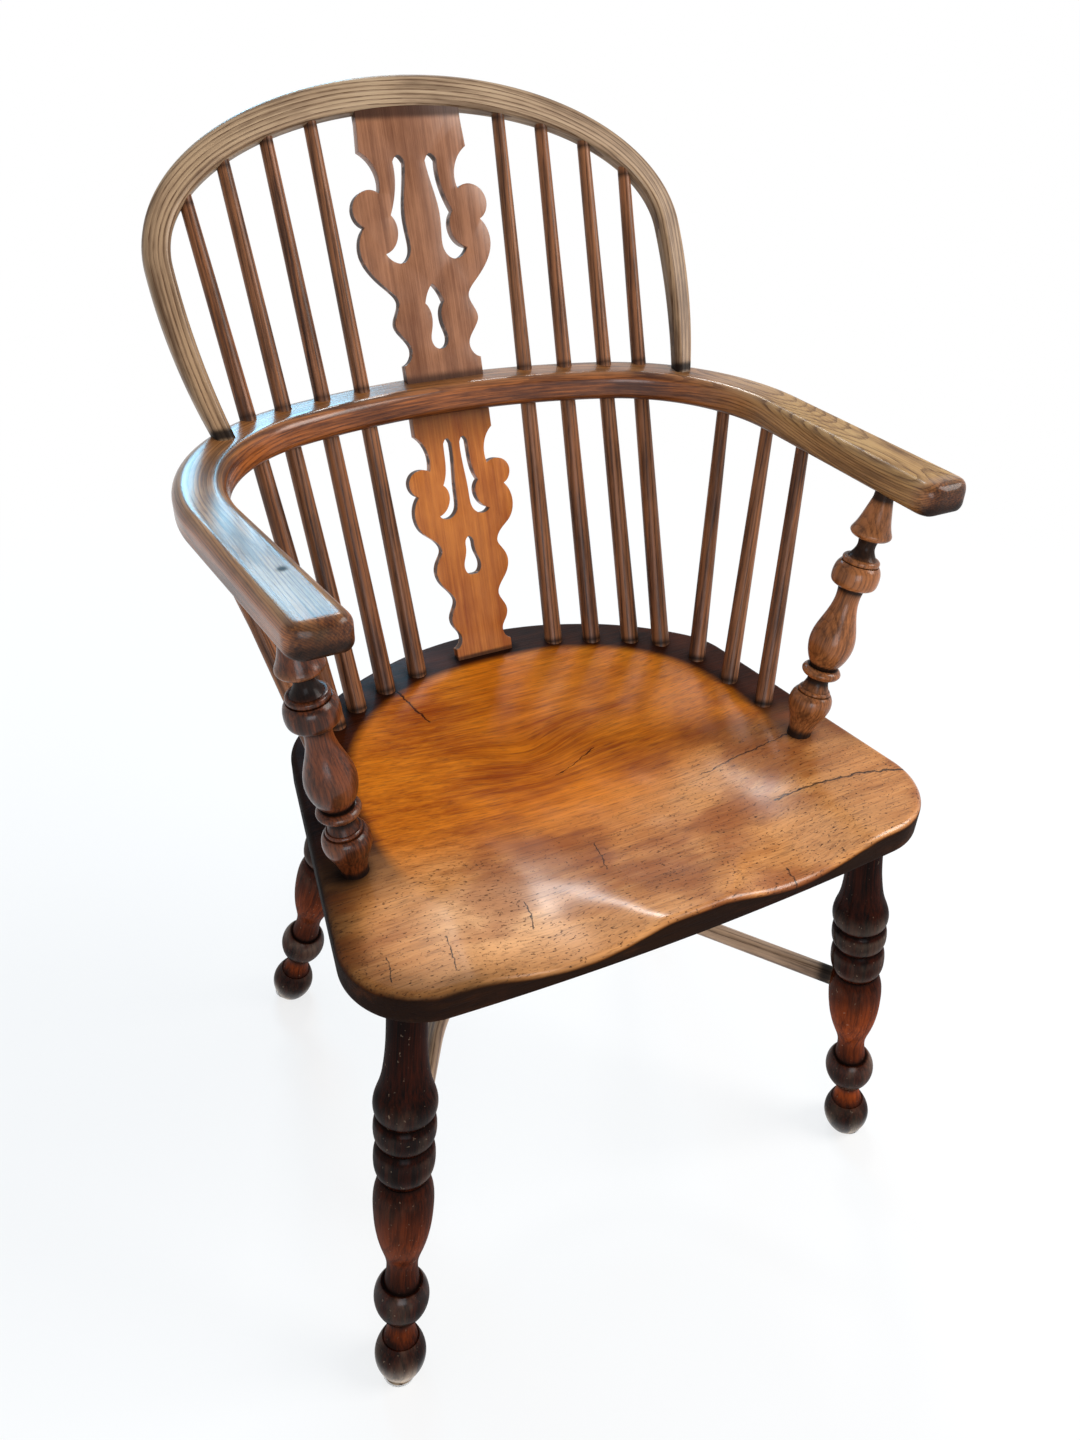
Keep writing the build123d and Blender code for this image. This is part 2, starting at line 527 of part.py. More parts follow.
def leg_point(foot, top):
    """Point of a leg's axis at the height of the stretchers."""
    foot, top = Vector(*foot), Vector(*top)
    return foot + (top - foot) * (STRETCHER_HEIGHT / top.Z)


def make_stretchers(ends):
    """Stretcher bow, its stubs, and the cutters for the legs. ends holds each leg's foot and top by name."""
    left, right = (leg_point(*ends[f"front_{side}_leg"]) for side in SIDES)
    apex = Vector(STRETCHER_ASIDE, (left.Y + right.Y) / 2 + STRETCHER_REACH, STRETCHER_HEIGHT)
    left_shy, right_shy = (end + (apex - end).normalized() * STRETCHER_END_SHY for end in (left, right))
    path = FilletPolyline(left_shy, apex, right_shy, radius=STRETCHER_BEND_R)
    bow = sweep(Plane(origin=left_shy, z_dir=apex - left_shy) * Circle(STRETCHER_DIA / 2), path=path)
    cuts = {}
    stubs = []
    for side, sign, end in zip(SIDES, SIDES.values(), (left_shy, right_shy)):
        run = [(-END_GAP, STRETCHER_DIA), (2 * STRETCHER_END_SHY + STRETCHER_DIA * 2, STRETCHER_DIA)]
        cuts[f"front_{side}_leg"] = socket(end, apex, run)
        joint = path @ (0.5 + sign * STUB_HALF_SPAN / path.length)
        heel = leg_point(*ends[f"rear_{side}_leg"])
        length = (heel - joint).length
        profile = [(-STUB_DEPTH, STUB_BOW_DIA), (STUB_TAPER, STUB_DIA), (length - STUB_TAPER, STUB_DIA),
                   (length - STUB_END_SHY, STUB_LEG_DIA)]
        runs = list(zip(profile, profile[1:]))
        stubs.append((f"rear_stretcher_{side}", turned(joint, heel, runs)))
        bow -= socket(joint, heel, runs[0], gap_start=END_GAP)
        cuts[f"rear_{side}_leg"] = socket(joint, heel, runs[-1], gap_end=END_GAP)
    return bow, stubs, cuts


def assemble():
    """Every piece by name, each with the sockets of what is tenoned into it."""
    pieces = {}
    seat, bow = make_seat(), make_arm_bow()
    hoop, hoop_sockets = make_hoop()
    lower, upper, seat_cut, bow_cuts, hoop_cut = make_splats()
    seat -= seat_cut
    hoop -= hoop_cut
    for cutter in hoop_sockets + bow_cuts:
        bow -= cutter
    for name, solid, cutter in long_spindles():
        pieces[name] = solid
        seat, bow, hoop = seat - cutter, bow - cutter, hoop - cutter
    for name, solid, cutter in arm_spindles():
        pieces[name] = solid
        seat, bow = seat - cutter, bow - cutter
    for name, solid, foot_cutter, top_cutter in arm_supports():
        pieces[name] = solid
        seat, bow = seat - foot_cutter, bow - top_cutter
    ends = {}
    for name, leg, cutter, foot, top in legs():
        pieces[name] = leg
        ends[name] = (foot, top)
        seat -= cutter
    stretcher, stubs, leg_cuts = make_stretchers(ends)
    for name, cutter in leg_cuts.items():
        pieces[name] -= cutter
    pieces.update(stubs)
    pieces.update(seat=seat, arm_bow=bow, back_hoop=hoop, lower_splat=lower, upper_splat=upper,
                  stretcher_bow=stretcher)
    return pieces, ends


def main():
    """Build the chair, move its origin to the floor under its middle and write one file a piece."""
    pieces, ends = assemble()
    boxes = [solid.bounding_box() for solid in pieces.values()]
    middle_x = (min(box.min.X for box in boxes) + max(box.max.X for box in boxes)) / 2
    middle_y = (min(box.min.Y for box in boxes) + max(box.max.Y for box in boxes)) / 2
    os.makedirs("parts", exist_ok=True)
    for name, solid in pieces.items():
        export_step(Pos(-middle_x, -middle_y, 0) * solid, f"parts/{name}.step")
    print(f"layout moved by {-middle_x:.2f}, {-middle_y:.2f}; hoop leans {degrees(HOOP_LEAN):.2f} degrees")
    for name, (foot, top) in ends.items():
        print(f"{name} stands at {foot[0] - middle_x:.2f}, {foot[1] - middle_y:.2f}")


main()
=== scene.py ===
# %% [markdown]
# # A double-bow windsor armchair
# The real chair is a carved elm plank on turned legs, with an ash bow for the arms, an ash hoop for the back,
# fretted splats and plain spindles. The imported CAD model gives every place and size. This lesson works each
# piece out again as a smooth surface that carries its own wood grain, because the grain of a bent rail
# follows the bend, and no pattern that simply fills space can do that.

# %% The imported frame
from math import cos, pi, radians, sin, sqrt, tan

import bmesh
import bpy
import numpy as np
from mathutils import Matrix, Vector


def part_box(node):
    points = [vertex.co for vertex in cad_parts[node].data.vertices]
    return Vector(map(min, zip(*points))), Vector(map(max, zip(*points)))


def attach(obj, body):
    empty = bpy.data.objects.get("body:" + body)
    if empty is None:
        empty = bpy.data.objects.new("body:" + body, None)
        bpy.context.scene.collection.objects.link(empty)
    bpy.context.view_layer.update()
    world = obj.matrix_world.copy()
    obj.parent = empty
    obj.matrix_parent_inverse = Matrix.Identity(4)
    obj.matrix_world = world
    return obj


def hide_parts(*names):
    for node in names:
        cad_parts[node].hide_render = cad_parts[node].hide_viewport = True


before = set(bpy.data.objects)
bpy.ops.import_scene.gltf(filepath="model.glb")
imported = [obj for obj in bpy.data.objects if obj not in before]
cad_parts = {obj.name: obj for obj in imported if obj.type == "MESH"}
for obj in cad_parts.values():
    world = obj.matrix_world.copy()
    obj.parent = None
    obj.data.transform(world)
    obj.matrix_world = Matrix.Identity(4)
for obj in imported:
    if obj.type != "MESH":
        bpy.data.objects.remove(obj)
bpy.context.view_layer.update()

# %% [markdown]
# Sizes are written in millimetres and laid out from the line through the seat's front corners, as a
# chairmaker would chalk them on the plank. The CAD seat's own box says how far that line lies from the
# frame's origin, so one shift takes every piece to its place.

# %% From the chalk line to the frame
MM = 0.001
SEAT_SWELL = 13.0
seat_low, seat_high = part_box("seat")
SHIFT = np.array([(seat_low.x + seat_high.x) / 2, seat_low.y, 0.0]) / MM + (0.0, SEAT_SWELL, 0.0)
print("layout shift in mm:", SHIFT.round(2))

# %% [markdown]
# ## Camera
# The photograph looks down on the chair from its front left. Its lens was worked out from points and known
# lengths on the chair: the picture is 1440 pixels high, and a metre one metre away fills 1110 of them. The
# lens axis meets the picture a little off its centre, which a small shift of the camera gives.


# %% Placing things
def in_scene(name, data):
    """New object of some data, linked into the scene."""
    thing = bpy.data.objects.new(name, data)
    bpy.context.scene.collection.objects.link(thing)
    return thing


def standing(right, back, place):
    """Matrix of a thing at a place, its x axis to the right, its z axis to the back and y square to both."""
    pose = np.eye(4)
    pose[:3, 0], pose[:3, 1], pose[:3, 2], pose[:3, 3] = right, np.cross(back, right), back, place
    return Matrix(pose.tolist())


# %% The photograph's camera
PICTURE = (1080, 1440)
FOCAL_PIXELS = 1110.02
AXIS_PIXEL = (543.12, 709.92)
SENSOR = 36.0
EYE = np.array([-376.9, -719.5, 1027.5]) * MM
AHEAD = np.array([0.38105, 0.72146, -0.57819])
RIGHT = np.array([0.89234, -0.45063, 0.02579])

camera_data = bpy.data.cameras.new("photograph_camera")
camera_data.sensor_fit = "VERTICAL"
camera_data.sensor_height = SENSOR
camera_data.lens = SENSOR * FOCAL_PIXELS / PICTURE[1]
camera_data.shift_x = (PICTURE[0] / 2 - AXIS_PIXEL[0]) / PICTURE[1]
camera_data.shift_y = (AXIS_PIXEL[1] - PICTURE[1] / 2) / PICTURE[1]
camera = in_scene("photograph_camera", camera_data)
camera.matrix_world = standing(RIGHT, -AHEAD, EYE)
bpy.context.scene.camera = camera
bpy.context.scene.view_settings.view_transform = "Standard"
print("lens in mm:", round(camera_data.lens, 2))

# %% [markdown]
# ## Writing shaders as sums
# A finish is easier to read as arithmetic than as a pile of nodes. One small class holds a socket: adding or
# multiplying two of them adds a Math node, and `add` makes any other node from its settings and sockets.


# %% Shader arithmetic
class Strand:
    """One output socket of a node tree. Arithmetic on strands adds Math nodes to that tree."""

    def __init__(self, tree, socket=None):
        self.tree = tree
        self.socket = socket

    def add(self, kind, settings, sockets, output=0):
        """New node of a kind: settings are set first, then each socket gets its value or its link."""
        node = self.tree.nodes.new("ShaderNode" + kind)
        for name, value in settings.items():
            setattr(node, name, value)
        for key, value in sockets.items():
            if isinstance(value, Strand):
                self.tree.links.new(value.socket, node.inputs[key])
            else:
                node.inputs[key].default_value = value
        return Strand(self.tree, node.outputs[output] if len(node.outputs) else None)

    def math(self, operation, *values):
        """Math node on two values, either of which may be a plain number."""
        return self.add("Math", {"operation": operation}, dict(enumerate(values)))

    def __add__(self, other):
        return self.math("ADD", self, other)

    def __sub__(self, other):
        return self.math("SUBTRACT", self, other)

    def __rsub__(self, other):
        return self.math("SUBTRACT", other, self)

    def __mul__(self, other):
        return self.math("MULTIPLY", self, other)

    __radd__ = __add__
    __rmul__ = __mul__

    def largest(self, other):
        """The larger of two values."""
        return self.math("MAXIMUM", self, other)

    def between(self, low, high):
        """0 at low, 1 at high, with a smooth step from one to the other."""
        limits = {"Value": self, "From Min": low, "From Max": high}
        return self.add("MapRange", {"interpolation_type": "SMOOTHSTEP"}, limits)

    def blend(self, first, second, how="MIX"):
        """Two colours mixed by this value, from the first at 0 to the second at 1."""
        first, second = (c if isinstance(c, Strand) else (*c, 1) for c in (first, second))
        settings = {"data_type": "RGBA", "blend_type": how, "clamp_factor": True}
        return self.add("Mix", settings, {0: self, 6: first, 7: second}, output=2)

    def scaled(self, stretch, move=(0, 0, 0)):
        """This vector with each part multiplied, then moved."""
        return self.add("VectorMath", {"operation": "MULTIPLY_ADD"}, {0: self, 1: stretch, 2: move})

    def part(self, index):
        """One of this vector's three numbers."""
        return self.add("SeparateXYZ", {}, {0: self}, output=index)

    def noise(self, stretch, detail=3.0, rough=0.5, move=(0, 0, 0)):
        """Noise on this vector, stretched so that its marks are long along the grain."""
        sockets = {"Vector": self.scaled(stretch, move), "Scale": 1.0, "Detail": detail, "Roughness": rough}
        return self.add("TexNoise", {}, sockets)

    def rings(self, pitch, wander):
        """Growth rings around the grain's axis, one each pitch, with a wandering edge."""
        sockets = {"Vector": self.scaled((0.12, 1, 1)), "Scale": pi / (10 * pitch), "Distortion": wander,
                   "Detail": 2.0, "Detail Scale": 1.2, "Detail Roughness": 0.55}
        settings = {"wave_type": "RINGS", "rings_direction": "X", "wave_profile": "SAW"}
        return self.add("TexWave", settings, sockets, output=1)


def fresh_tree(owner):
    """A strand on an owner's emptied node tree, to start a finish from."""
    owner.use_nodes = True
    owner.node_tree.nodes.clear()
    return Strand(owner.node_tree)


# %% [markdown]
# ## Floor and light
# The photograph is a cut-out on white. A wide pale floor stands for that, with a soft shadow under the feet.
# The light is a bright room: a dim sky that pales at the horizon, a broad lamp from the right that leaves the
# left edges dark, and three windows. The polished arms mirror the low window behind the chair, the hollows
# of the seat the high one, and the beads of the legs the one in front.

# %% Floor
FLOOR_HALF = 60.0
WHITE_NEAR, WHITE_FAR = 0.5, 1.8
FLOOR_WHITE_SHARE = 0.75
FLOOR_GREY = (0.88, 0.88, 0.88, 1)

floor_mesh = bpy.data.meshes.new("studio_floor")
corners = [(x * FLOOR_HALF, y * FLOOR_HALF, 0.0) for x, y in ((-1, -1), (1, -1), (1, 1), (-1, 1))]
floor_mesh.from_pydata(corners, [], [(0, 1, 2, 3)])
floor = in_scene("studio_floor", floor_mesh)

floor_paint = bpy.data.materials.new("pale_floor")
pen = fresh_tree(floor_paint)
away = pen.add("VectorMath", {"operation": "LENGTH"}, {0: pen.add("TexCoord", {}, {}, output=3)}, output=1)
seen = pen.add("LightPath", {}, {}, output=0)
mirrored = pen.add("LightPath", {}, {}, output=3)
through = pen.add("LightPath", {}, {}, output=6)
matt = pen.add("BsdfDiffuse", {}, {"Color": FLOOR_GREY})
white = pen.add("Emission", {}, {"Color": (1, 1, 1, 1), "Strength": 1.0})
fade = away.between(WHITE_NEAR, WHITE_FAR) * (1 - FLOOR_WHITE_SHARE) + FLOOR_WHITE_SHARE
share = seen.largest(mirrored).largest(through) * fade
pen.add("OutputMaterial", {}, {"Surface": pen.add("MixShader", {}, {0: share, 1: matt, 2: white})})
floor_mesh.materials.append(floor_paint)

# %% Sky and lamps
SKY_FRONT, SKY_BACK = (0.23, 0.225, 0.22), (0.54, 0.57, 0.62)
SKY_BEARING = (0.35, 0.75, 0.55)
SKY_TURN = (-0.55, 0.85)
HORIZON = (0.90, 0.91, 0.92)
HORIZON_BAND = (0.24, 0.48)

world = bpy.data.worlds.new("bright_room")
bpy.context.scene.world = world
pen = fresh_tree(world)
heading = pen.add("TexCoord", {}, {}, output=0)
facing = pen.add("VectorMath", {"operation": "DOT_PRODUCT"}, {0: heading, 1: SKY_BEARING}, output=1)
sky = facing.between(*SKY_TURN).blend(SKY_FRONT, SKY_BACK)
sky = heading.part(2).between(*HORIZON_BAND).blend(HORIZON, sky)
pen.add("OutputWorld", {}, {"Surface": pen.add("Background", {}, {"Color": sky, "Strength": 1.0})})


def lamp(name, place, aim, size, watts, colour):
    """Rectangular soft lamp at a place, turned to face a point."""
    data = bpy.data.lights.new(name, "AREA")
    data.shape, data.size, data.size_y = "RECTANGLE", *size
    data.energy, data.color = watts, colour
    holder = in_scene(name, data)
    back = np.array(place) - aim
    back = back / np.linalg.norm(back)
    side = np.cross((0, 0, 1), back)
    side = side / np.linalg.norm(side)
    holder.matrix_world = standing(side, back, place)


CHAIR_MIDDLE = np.array([0.0, 0.0, 0.45])
lamp("right_softbox", (2.1, -1.3, 2.2), CHAIR_MIDDLE, (1.5, 1.5), 68.0, (1.0, 0.96, 0.91))
lamp("window_above", (1.45, 3.35, 4.25), CHAIR_MIDDLE, (0.95, 0.5), 52.0, (1.0, 0.99, 0.97))
lamp("window_behind", (0.2, 2.22, 1.83), CHAIR_MIDDLE, (0.8, 0.6), 26.0, (0.28, 0.70, 1.0))
lamp("window_in_front", (-1.0, -2.5, 1.05), CHAIR_MIDDLE, (1.4, 1.1), 24.0, (0.80, 0.91, 1.0))

# %% [markdown]
# ## From grids to wood
# Every piece here is a grid of points: rows along the piece and columns around it. Besides its place, a point
# carries four marks that the finishes read: `grain`, where the point lay in the straight plank or billet,
# `grime_and_shade` for grime at joints and painted shade in grooves and under or beside other parts, `wear`
# for rubbed edges, and `tone` for light or dark timber.


# %% Skinning a grid
def grid_faces(rows, columns):
    """Quads between neighbouring rows, closed around, and a fan of triangles over each end."""
    row, column = np.meshgrid(np.arange(rows - 1) * columns, np.arange(columns), indexing="ij")
    after = (column + 1) % columns
    quads = np.stack([row + column, row + after, row + columns + after, row + columns + column], -1)
    ring, last = np.arange(columns), (rows - 1) * columns
    following = (ring + 1) % columns
    near = np.stack([np.full(columns, rows * columns), following, ring], -1)
    far = np.stack([np.full(columns, rows * columns + 1), last + ring, last + following], -1)
    return quads.reshape(-1, 4), np.concatenate([near, far])


def inside_out(points, quads):
    """True where the volume inside the quads, added up as cones from the origin, comes out negative."""
    a, b, c, d = (points[quads[:, i]] for i in range(4))
    return float((np.cross(a, b) * c).sum() + (np.cross(a, c) * d).sum()) < 0


by_slot = {}


def dress(mesh, marks, node, slot):
    """Object for a finished mesh with its marks, riding on the chair in the place of its CAD node."""
    for mark, values in marks.items():
        kind, field = ("FLOAT_VECTOR", "vector") if values.ndim == 2 else ("FLOAT", "value")
        mesh.attributes.new(mark, kind, "POINT").data.foreach_set(field, values.astype(np.float32).ravel())
    piece = in_scene(node + "_wood", mesh)
    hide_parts(node)
    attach(piece, "root")
    by_slot.setdefault(slot, []).append(piece)
    return piece


def skin(node, slot, grid, marks, crisp):
    """Piece made from a closed grid of layout points. Edges that turn by over crisp degrees stay sharp."""
    rows, columns = grid.shape[:2]
    flat = grid.reshape(-1, 3)
    points = np.concatenate([flat, grid[0].mean(0)[None], grid[-1].mean(0)[None]])
    quads, fans = grid_faces(rows, columns)
    if inside_out(points - points.mean(0), quads):
        quads, fans = quads[:, ::-1], fans[:, ::-1]
    mesh = bpy.data.meshes.new(node + "_wood")
    mesh.from_pydata(((points + SHIFT) * MM).tolist(), [], quads.tolist() + fans.tolist())
    mesh.shade_smooth()
    mesh.set_sharp_from_angle(angle=radians(crisp))
    ends = {mark: values.reshape(rows, columns, -1) for mark, values in marks.items()}
    full = {mark: np.concatenate([v.reshape(rows * columns, -1), v[0].mean(0)[None], v[-1].mean(0)[None]])
            for mark, v in ends.items()}
    full = {mark: v if v.shape[1] == 3 else v[:, 0] for mark, v in full.items()}
    return dress(mesh, full, node, slot)


LOG_LEAN = 0.025


def in_the_log(along, across, through, number):
    """Where points of a numbered stick lay in the tree, in metres. Each stick comes from another place, a
    little off the middle of the log and leaning to it, so the rings run out of its sides in long arches."""
    place = np.array([0.73 * number, 0.021 + 0.009 * (number % 3), 0.013 - 0.007 * (number % 4)])
    return np.stack(np.broadcast_arrays(along, across + LOG_LEAN * along, through), -1) * MM + place


def near_to(values, place, width):
    """1 at a place, fading to 0 some widths away, as a bell curve."""
    return np.exp(-((values - place) / width) ** 2)


# %% [markdown]
# ## Turned pieces
# Legs, arm supports, spindles and stretcher stubs come off a lathe. Each outline is a few runs of points,
# distance along and diameter, with a sharp edge between runs. A spline smooths each run, and turning it
# about the line from foot to tip gives the surface. The grain stays straight, so each bulge cuts through
# the growth rings and shows the arched lines that make turned wood lively.


# %% Turning
def flowing(run, step):
    """Natural cubic spline through a run of points, by the length between them, sampled about each step."""
    points = np.array(run, float)
    span = np.linalg.norm(np.diff(points, axis=0), axis=1)
    place = np.concatenate([[0], np.cumsum(span)])
    count = len(points)
    system = np.eye(count)
    bends = np.zeros((count, 2))
    inner = np.arange(1, count - 1)
    system[inner, inner - 1], system[inner, inner + 1] = span[:-1], span[1:]
    system[inner, inner] = 2 * (span[:-1] + span[1:])
    slopes = np.diff(points, axis=0) / span[:, None]
    bends[1:-1] = 6 * np.diff(slopes, axis=0)
    second = np.linalg.solve(system, bends)
    at = np.linspace(0, place[-1], max(2, int(place[-1] / step) + 1))
    k = np.clip(np.searchsorted(place, at) - 1, 0, count - 2)
    h, left, right = span[k, None], (at - place[k])[:, None], (place[k + 1] - at)[:, None]
    curve = second[k] * right**3 / (6 * h) + second[k + 1] * left**3 / (6 * h)
    curve = curve + (points[k] / h - second[k] * h / 6) * right
    return curve + (points[k + 1] / h - second[k + 1] * h / 6) * left


def profile(runs, step):
    """Distances and radii along a turned piece, run after run."""
    curves = [flowing(run, step) for run in runs]
    line = np.concatenate(curves)
    fresh = np.concatenate([[True], np.linalg.norm(np.diff(line, axis=0), axis=1) > 0.01])
    return line[fresh, 0], line[fresh, 1] / 2


def relief(along, radius, width):
    """How far each point of a turned line stands above (+) or below (-) the line smoothed over a width."""
    even = np.arange(along[0], along[-1], 0.5)
    level = np.interp(even, along, radius)
    reach = int(3 * width / 0.5)
    bell = np.exp(-(np.arange(-reach, reach + 1) * 0.5 / width) ** 2 / 2)
    padded = np.pad(level, reach, mode="edge")
    return radius - np.interp(along, even, np.convolve(padded, bell / bell.sum(), "valid"))


OFF_ROUND = 0.006
RELIEF_WIDTH, SHADED_DEPTH, WORN_HEIGHT = 5.0, 1.9, 5.0


def turned(node, slot, foot, tip, runs, number, columns=56, step=1.0, tone=0.5, bright=(), darkening=(), worn=(),
           flat_foot=False):
    """Surface of revolution: point = foot + axis * s + (side * cos a + other * sin a) * radius(s)."""
    foot, tip = np.array(foot, float), np.array(tip, float)
    axis = (tip - foot) / np.linalg.norm(tip - foot)
    side = np.cross(axis, (0, 1, 0))
    side = side / np.linalg.norm(side)
    other = np.cross(axis, side)
    along, radius = profile(runs, step)
    angle = np.linspace(0, 2 * pi, columns, endpoint=False)
    off_round = 1 + OFF_ROUND * np.cos(2 * angle + number)
    across = radius[:, None] * off_round * np.cos(angle)
    through = radius[:, None] * off_round * np.sin(angle)
    grid = foot + along[:, None, None] * axis + across[..., None] * side + through[..., None] * other
    if flat_foot:
        grid[..., 2] = np.maximum(grid[..., 2], 0)
    depth = relief(along, radius, RELIEF_WIDTH)
    # Wood sunk below the smoothed line of a groove is darkened as painted shade; raised beads count as worn.
    grime_and_shade = np.clip(-depth / SHADED_DEPTH, 0, 1)
    wear = np.clip(depth / WORN_HEIGHT, 0, 1)
    tone = np.full_like(along, tone)
    for values, spots in ((grime_and_shade, darkening), (wear, worn), (tone, bright)):
        for place, width, strength in spots:
            values += strength * near_to(along, place, width)
    spread = np.ones_like(across)
    marks = {"grain": in_the_log(along[:, None], across, through, number), "grime_and_shade": grime_and_shade[:, None] * spread,
             "wear": wear[:, None] * spread, "tone": tone[:, None] * spread}
    return skin(node, slot, grid, marks, 35)


# %% [markdown]
# ### Legs
# Four legs share one pattern: a small ball foot, a thin ankle, a larger ball, a long vase, two beads and a
# cone that goes up into the seat. Each is stretched to its own slant length and stands square on the floor.

# %% Legs
SEAT_TOP, SEAT_UNDER = 449.0, 411.0
FRONT_HALF, WAIST_HALF, SIDE_LENGTH = 260.0, 214.0, 300.0
LEG_PATTERN_LENGTH = 418.0
LEG_RUNS = (
    ((-12, 28), (0, 28)),
    ((0, 28), (11, 39), (23.5, 44), (36, 39.5), (45, 32)),
    ((45, 30), (53, 24.5), (62, 21.5), (70, 23)),
    ((70, 23), (80, 37), (97, 46), (108, 42), (114, 35)),
    ((114, 30), (126, 26.5), (139, 26), (160, 36), (183, 45), (205, 48), (222, 46.6), (237, 38)),
    ((237, 37), (247, 46), (258, 48), (268, 46), (274, 41)),
    ((274, 41), (281, 47), (289, 48.5), (297, 46.5), (301, 42)),
    ((301, 42), (306, 47), (312, 49), (330, 41), (349, 34), (368, 31), (400, 30), (424, 29)),
)
LEG_TOPS = {"front_left": (-207.5, 40, SEAT_UNDER), "front_right": (207.5, 40, SEAT_UNDER),
            "rear_left": (-140, 341, SEAT_UNDER), "rear_right": (140, 341, SEAT_UNDER)}
LEG_FEET = {"front_left": (-254.5, -13, 0), "front_right": (254.5, 10, 0),
            "rear_left": (-221, 436, 0), "rear_right": (221, 436, 0)}
LEG_GLOW = {"front_left": 0.4, "front_right": 0.9, "rear_left": 0.6, "rear_right": 0.6}
LEG_RED = ((0.41, 42.0), (0.14, 9.0))
STRETCHER_HEIGHT = 213.0


def stretched(runs, factor):
    """A pattern's runs with every distance along multiplied."""
    return [[(along * factor, size) for along, size in run] for run in runs]


for number, (corner, top) in enumerate(LEG_TOPS.items(), start=1):
    foot = LEG_FEET[corner]
    length = float(np.linalg.norm(np.subtract(top, foot)))
    darkening = ((length, 14.0, 0.9), (length * STRETCHER_HEIGHT / SEAT_UNDER, 9.0, 0.25))
    bright = [(share * length, width, LEG_GLOW[corner]) for share, width in LEG_RED]
    leg = turned(corner + "_leg", "leg_wood", foot, top, stretched(LEG_RUNS, length / LEG_PATTERN_LENGTH),
                 number, tone=0.0, bright=bright, darkening=darkening, worn=((0.0, 15.0, 2.0),), flat_foot=True)
    print(leg.name, len(leg.data.polygons), "faces")

# %% [markdown]
# ### Arm supports
# Each support is a small sister of the legs, upside down in its order: ball, ring, vase, cup and a trumpet
# that carries the arm. The left one is darker than the right one.

# %% Arm supports
ARM_TOP, ARM_UNDER = 692.0, 666.5
SUPPORT_PATTERN_LENGTH = 220.0
SUPPORT_RUNS = (
    ((-14, 21), (5, 21)),
    ((5, 21), (17, 28), (31, 37), (37.5, 35), (41, 30.5)),
    ((41, 27), (42.5, 28), (44.5, 26)),
    ((44.5, 24), (49, 20.5), (53, 18.5), (57, 20)),
    ((57, 24), (59, 31.5), (61.5, 33.5), (64, 31.5), (66, 24)),
    ((66, 22), (76, 33), (89.5, 38), (103, 33), (117, 24), (131, 20), (141, 22.5)),
    ((141, 33), (143, 37), (150, 39), (157, 36.5), (160.5, 32)),
    ((160.5, 28), (161.5, 30.5), (163.5, 31), (165.5, 28)),
    ((165.5, 24), (170, 18), (175, 14.7), (182, 17)),
    ((182, 22), (183.5, 30), (186.5, 34), (190, 31.5), (196, 26.5), (205, 21.5), (215, 16.3)),
    ((215, 16.3), (228, 16.3)),
)
ARM_CORNER = (103.0, 282.28)
ARM_CORNER_R = 150.0
ARM_TOE_IN = {"left": 7.5, "right": -2.0}
SIDES = {"left": -1, "right": 1}
SUPPORT_FOOT_Y, SUPPORT_TOP_Y = 132.0, 138.0
SUPPORT_INSET = {"left": 28.0, "right": 41.0}
SUPPORT_TOP_IN = {"left": -2.0, "right": 12.5}
SUPPORT_TONES = {"left": 0.0, "right": 0.7}


def seat_side(y):
    """Half width of the seat's straight side at a depth y: it narrows evenly from front to back."""
    return FRONT_HALF - (FRONT_HALF - WAIST_HALF) * y / SIDE_LENGTH


def arm_line(y, side):
    """Distance of an arm's middle line from the chair's middle: a straight arm, then the corner's arc."""
    toe = radians(ARM_TOE_IN[side])
    start = (ARM_CORNER[0] + ARM_CORNER_R * cos(toe), ARM_CORNER[1] - ARM_CORNER_R * sin(toe))
    if y < start[1]:
        return start[0] - (start[1] - y) * tan(toe)
    return ARM_CORNER[0] + sqrt(ARM_CORNER_R**2 - (y - ARM_CORNER[1]) ** 2)


for number, (side, sign) in enumerate(SIDES.items(), start=5):
    foot = (sign * (seat_side(SUPPORT_FOOT_Y) - SUPPORT_INSET[side]), SUPPORT_FOOT_Y, SEAT_TOP)
    tip = (sign * (arm_line(SUPPORT_TOP_Y, side) - SUPPORT_TOP_IN[side]), SUPPORT_TOP_Y, ARM_UNDER)
    length = float(np.linalg.norm(np.subtract(tip, foot)))
    # The middle spot darkens the neck under the cup as painted shade; the spots at both ends are the joints.
    support = turned(f"arm_support_{side}", "support_wood", foot, tip,
                     stretched(SUPPORT_RUNS, length / SUPPORT_PATTERN_LENGTH), number, columns=64, step=0.7,
                     tone=SUPPORT_TONES[side],
                     darkening=((0.0, 5.0, 1.0), (0.79 * length, 9.0, 0.5), (length, 7.0, 0.9)))
    print(support.name, len(support.data.polygons), "faces")

# %% [markdown]
# ### Spindles
# The long spindles start in the seat's rear rim, pass through the arm bow and end in the hoop. The short
# ones stand under the arms. They are plain sticks that taper upwards, whittled by hand and so never quite
# round. Grime gathers where each enters another piece.

# %% Spindles
BACK_LEAN, HOOP_LEAN = radians(19.0), radians(32.72)
HOOP_FOOT_Y = 391.48
HOOP_SHOULDER, HOOP_RISE = 131.0, 270.0
HOOP_OUTER, HOOP_INNER, HOOP_CROWN_WIDTH = 240.0, 219.0, 26.0
LONG_FEET, LONG_TOPS = (72.0, 108.0, 142.0, 167.0), (84.0, 123.0, 161.5, 197.0)
SHORT_FEET, SHORT_TOPS = (0.520, 0.355, 0.190), (0.684, 0.528, 0.372)
SEAT_DEPTH, SEAT_BACK_R = 405.0, 270.58
BOW_BACK_Y = 448.28
DECK_INSET = 34.0
LONG_SIZES, SHORT_SIZES = (17.4, 14.0, 11.0), (16.0, 11.3)


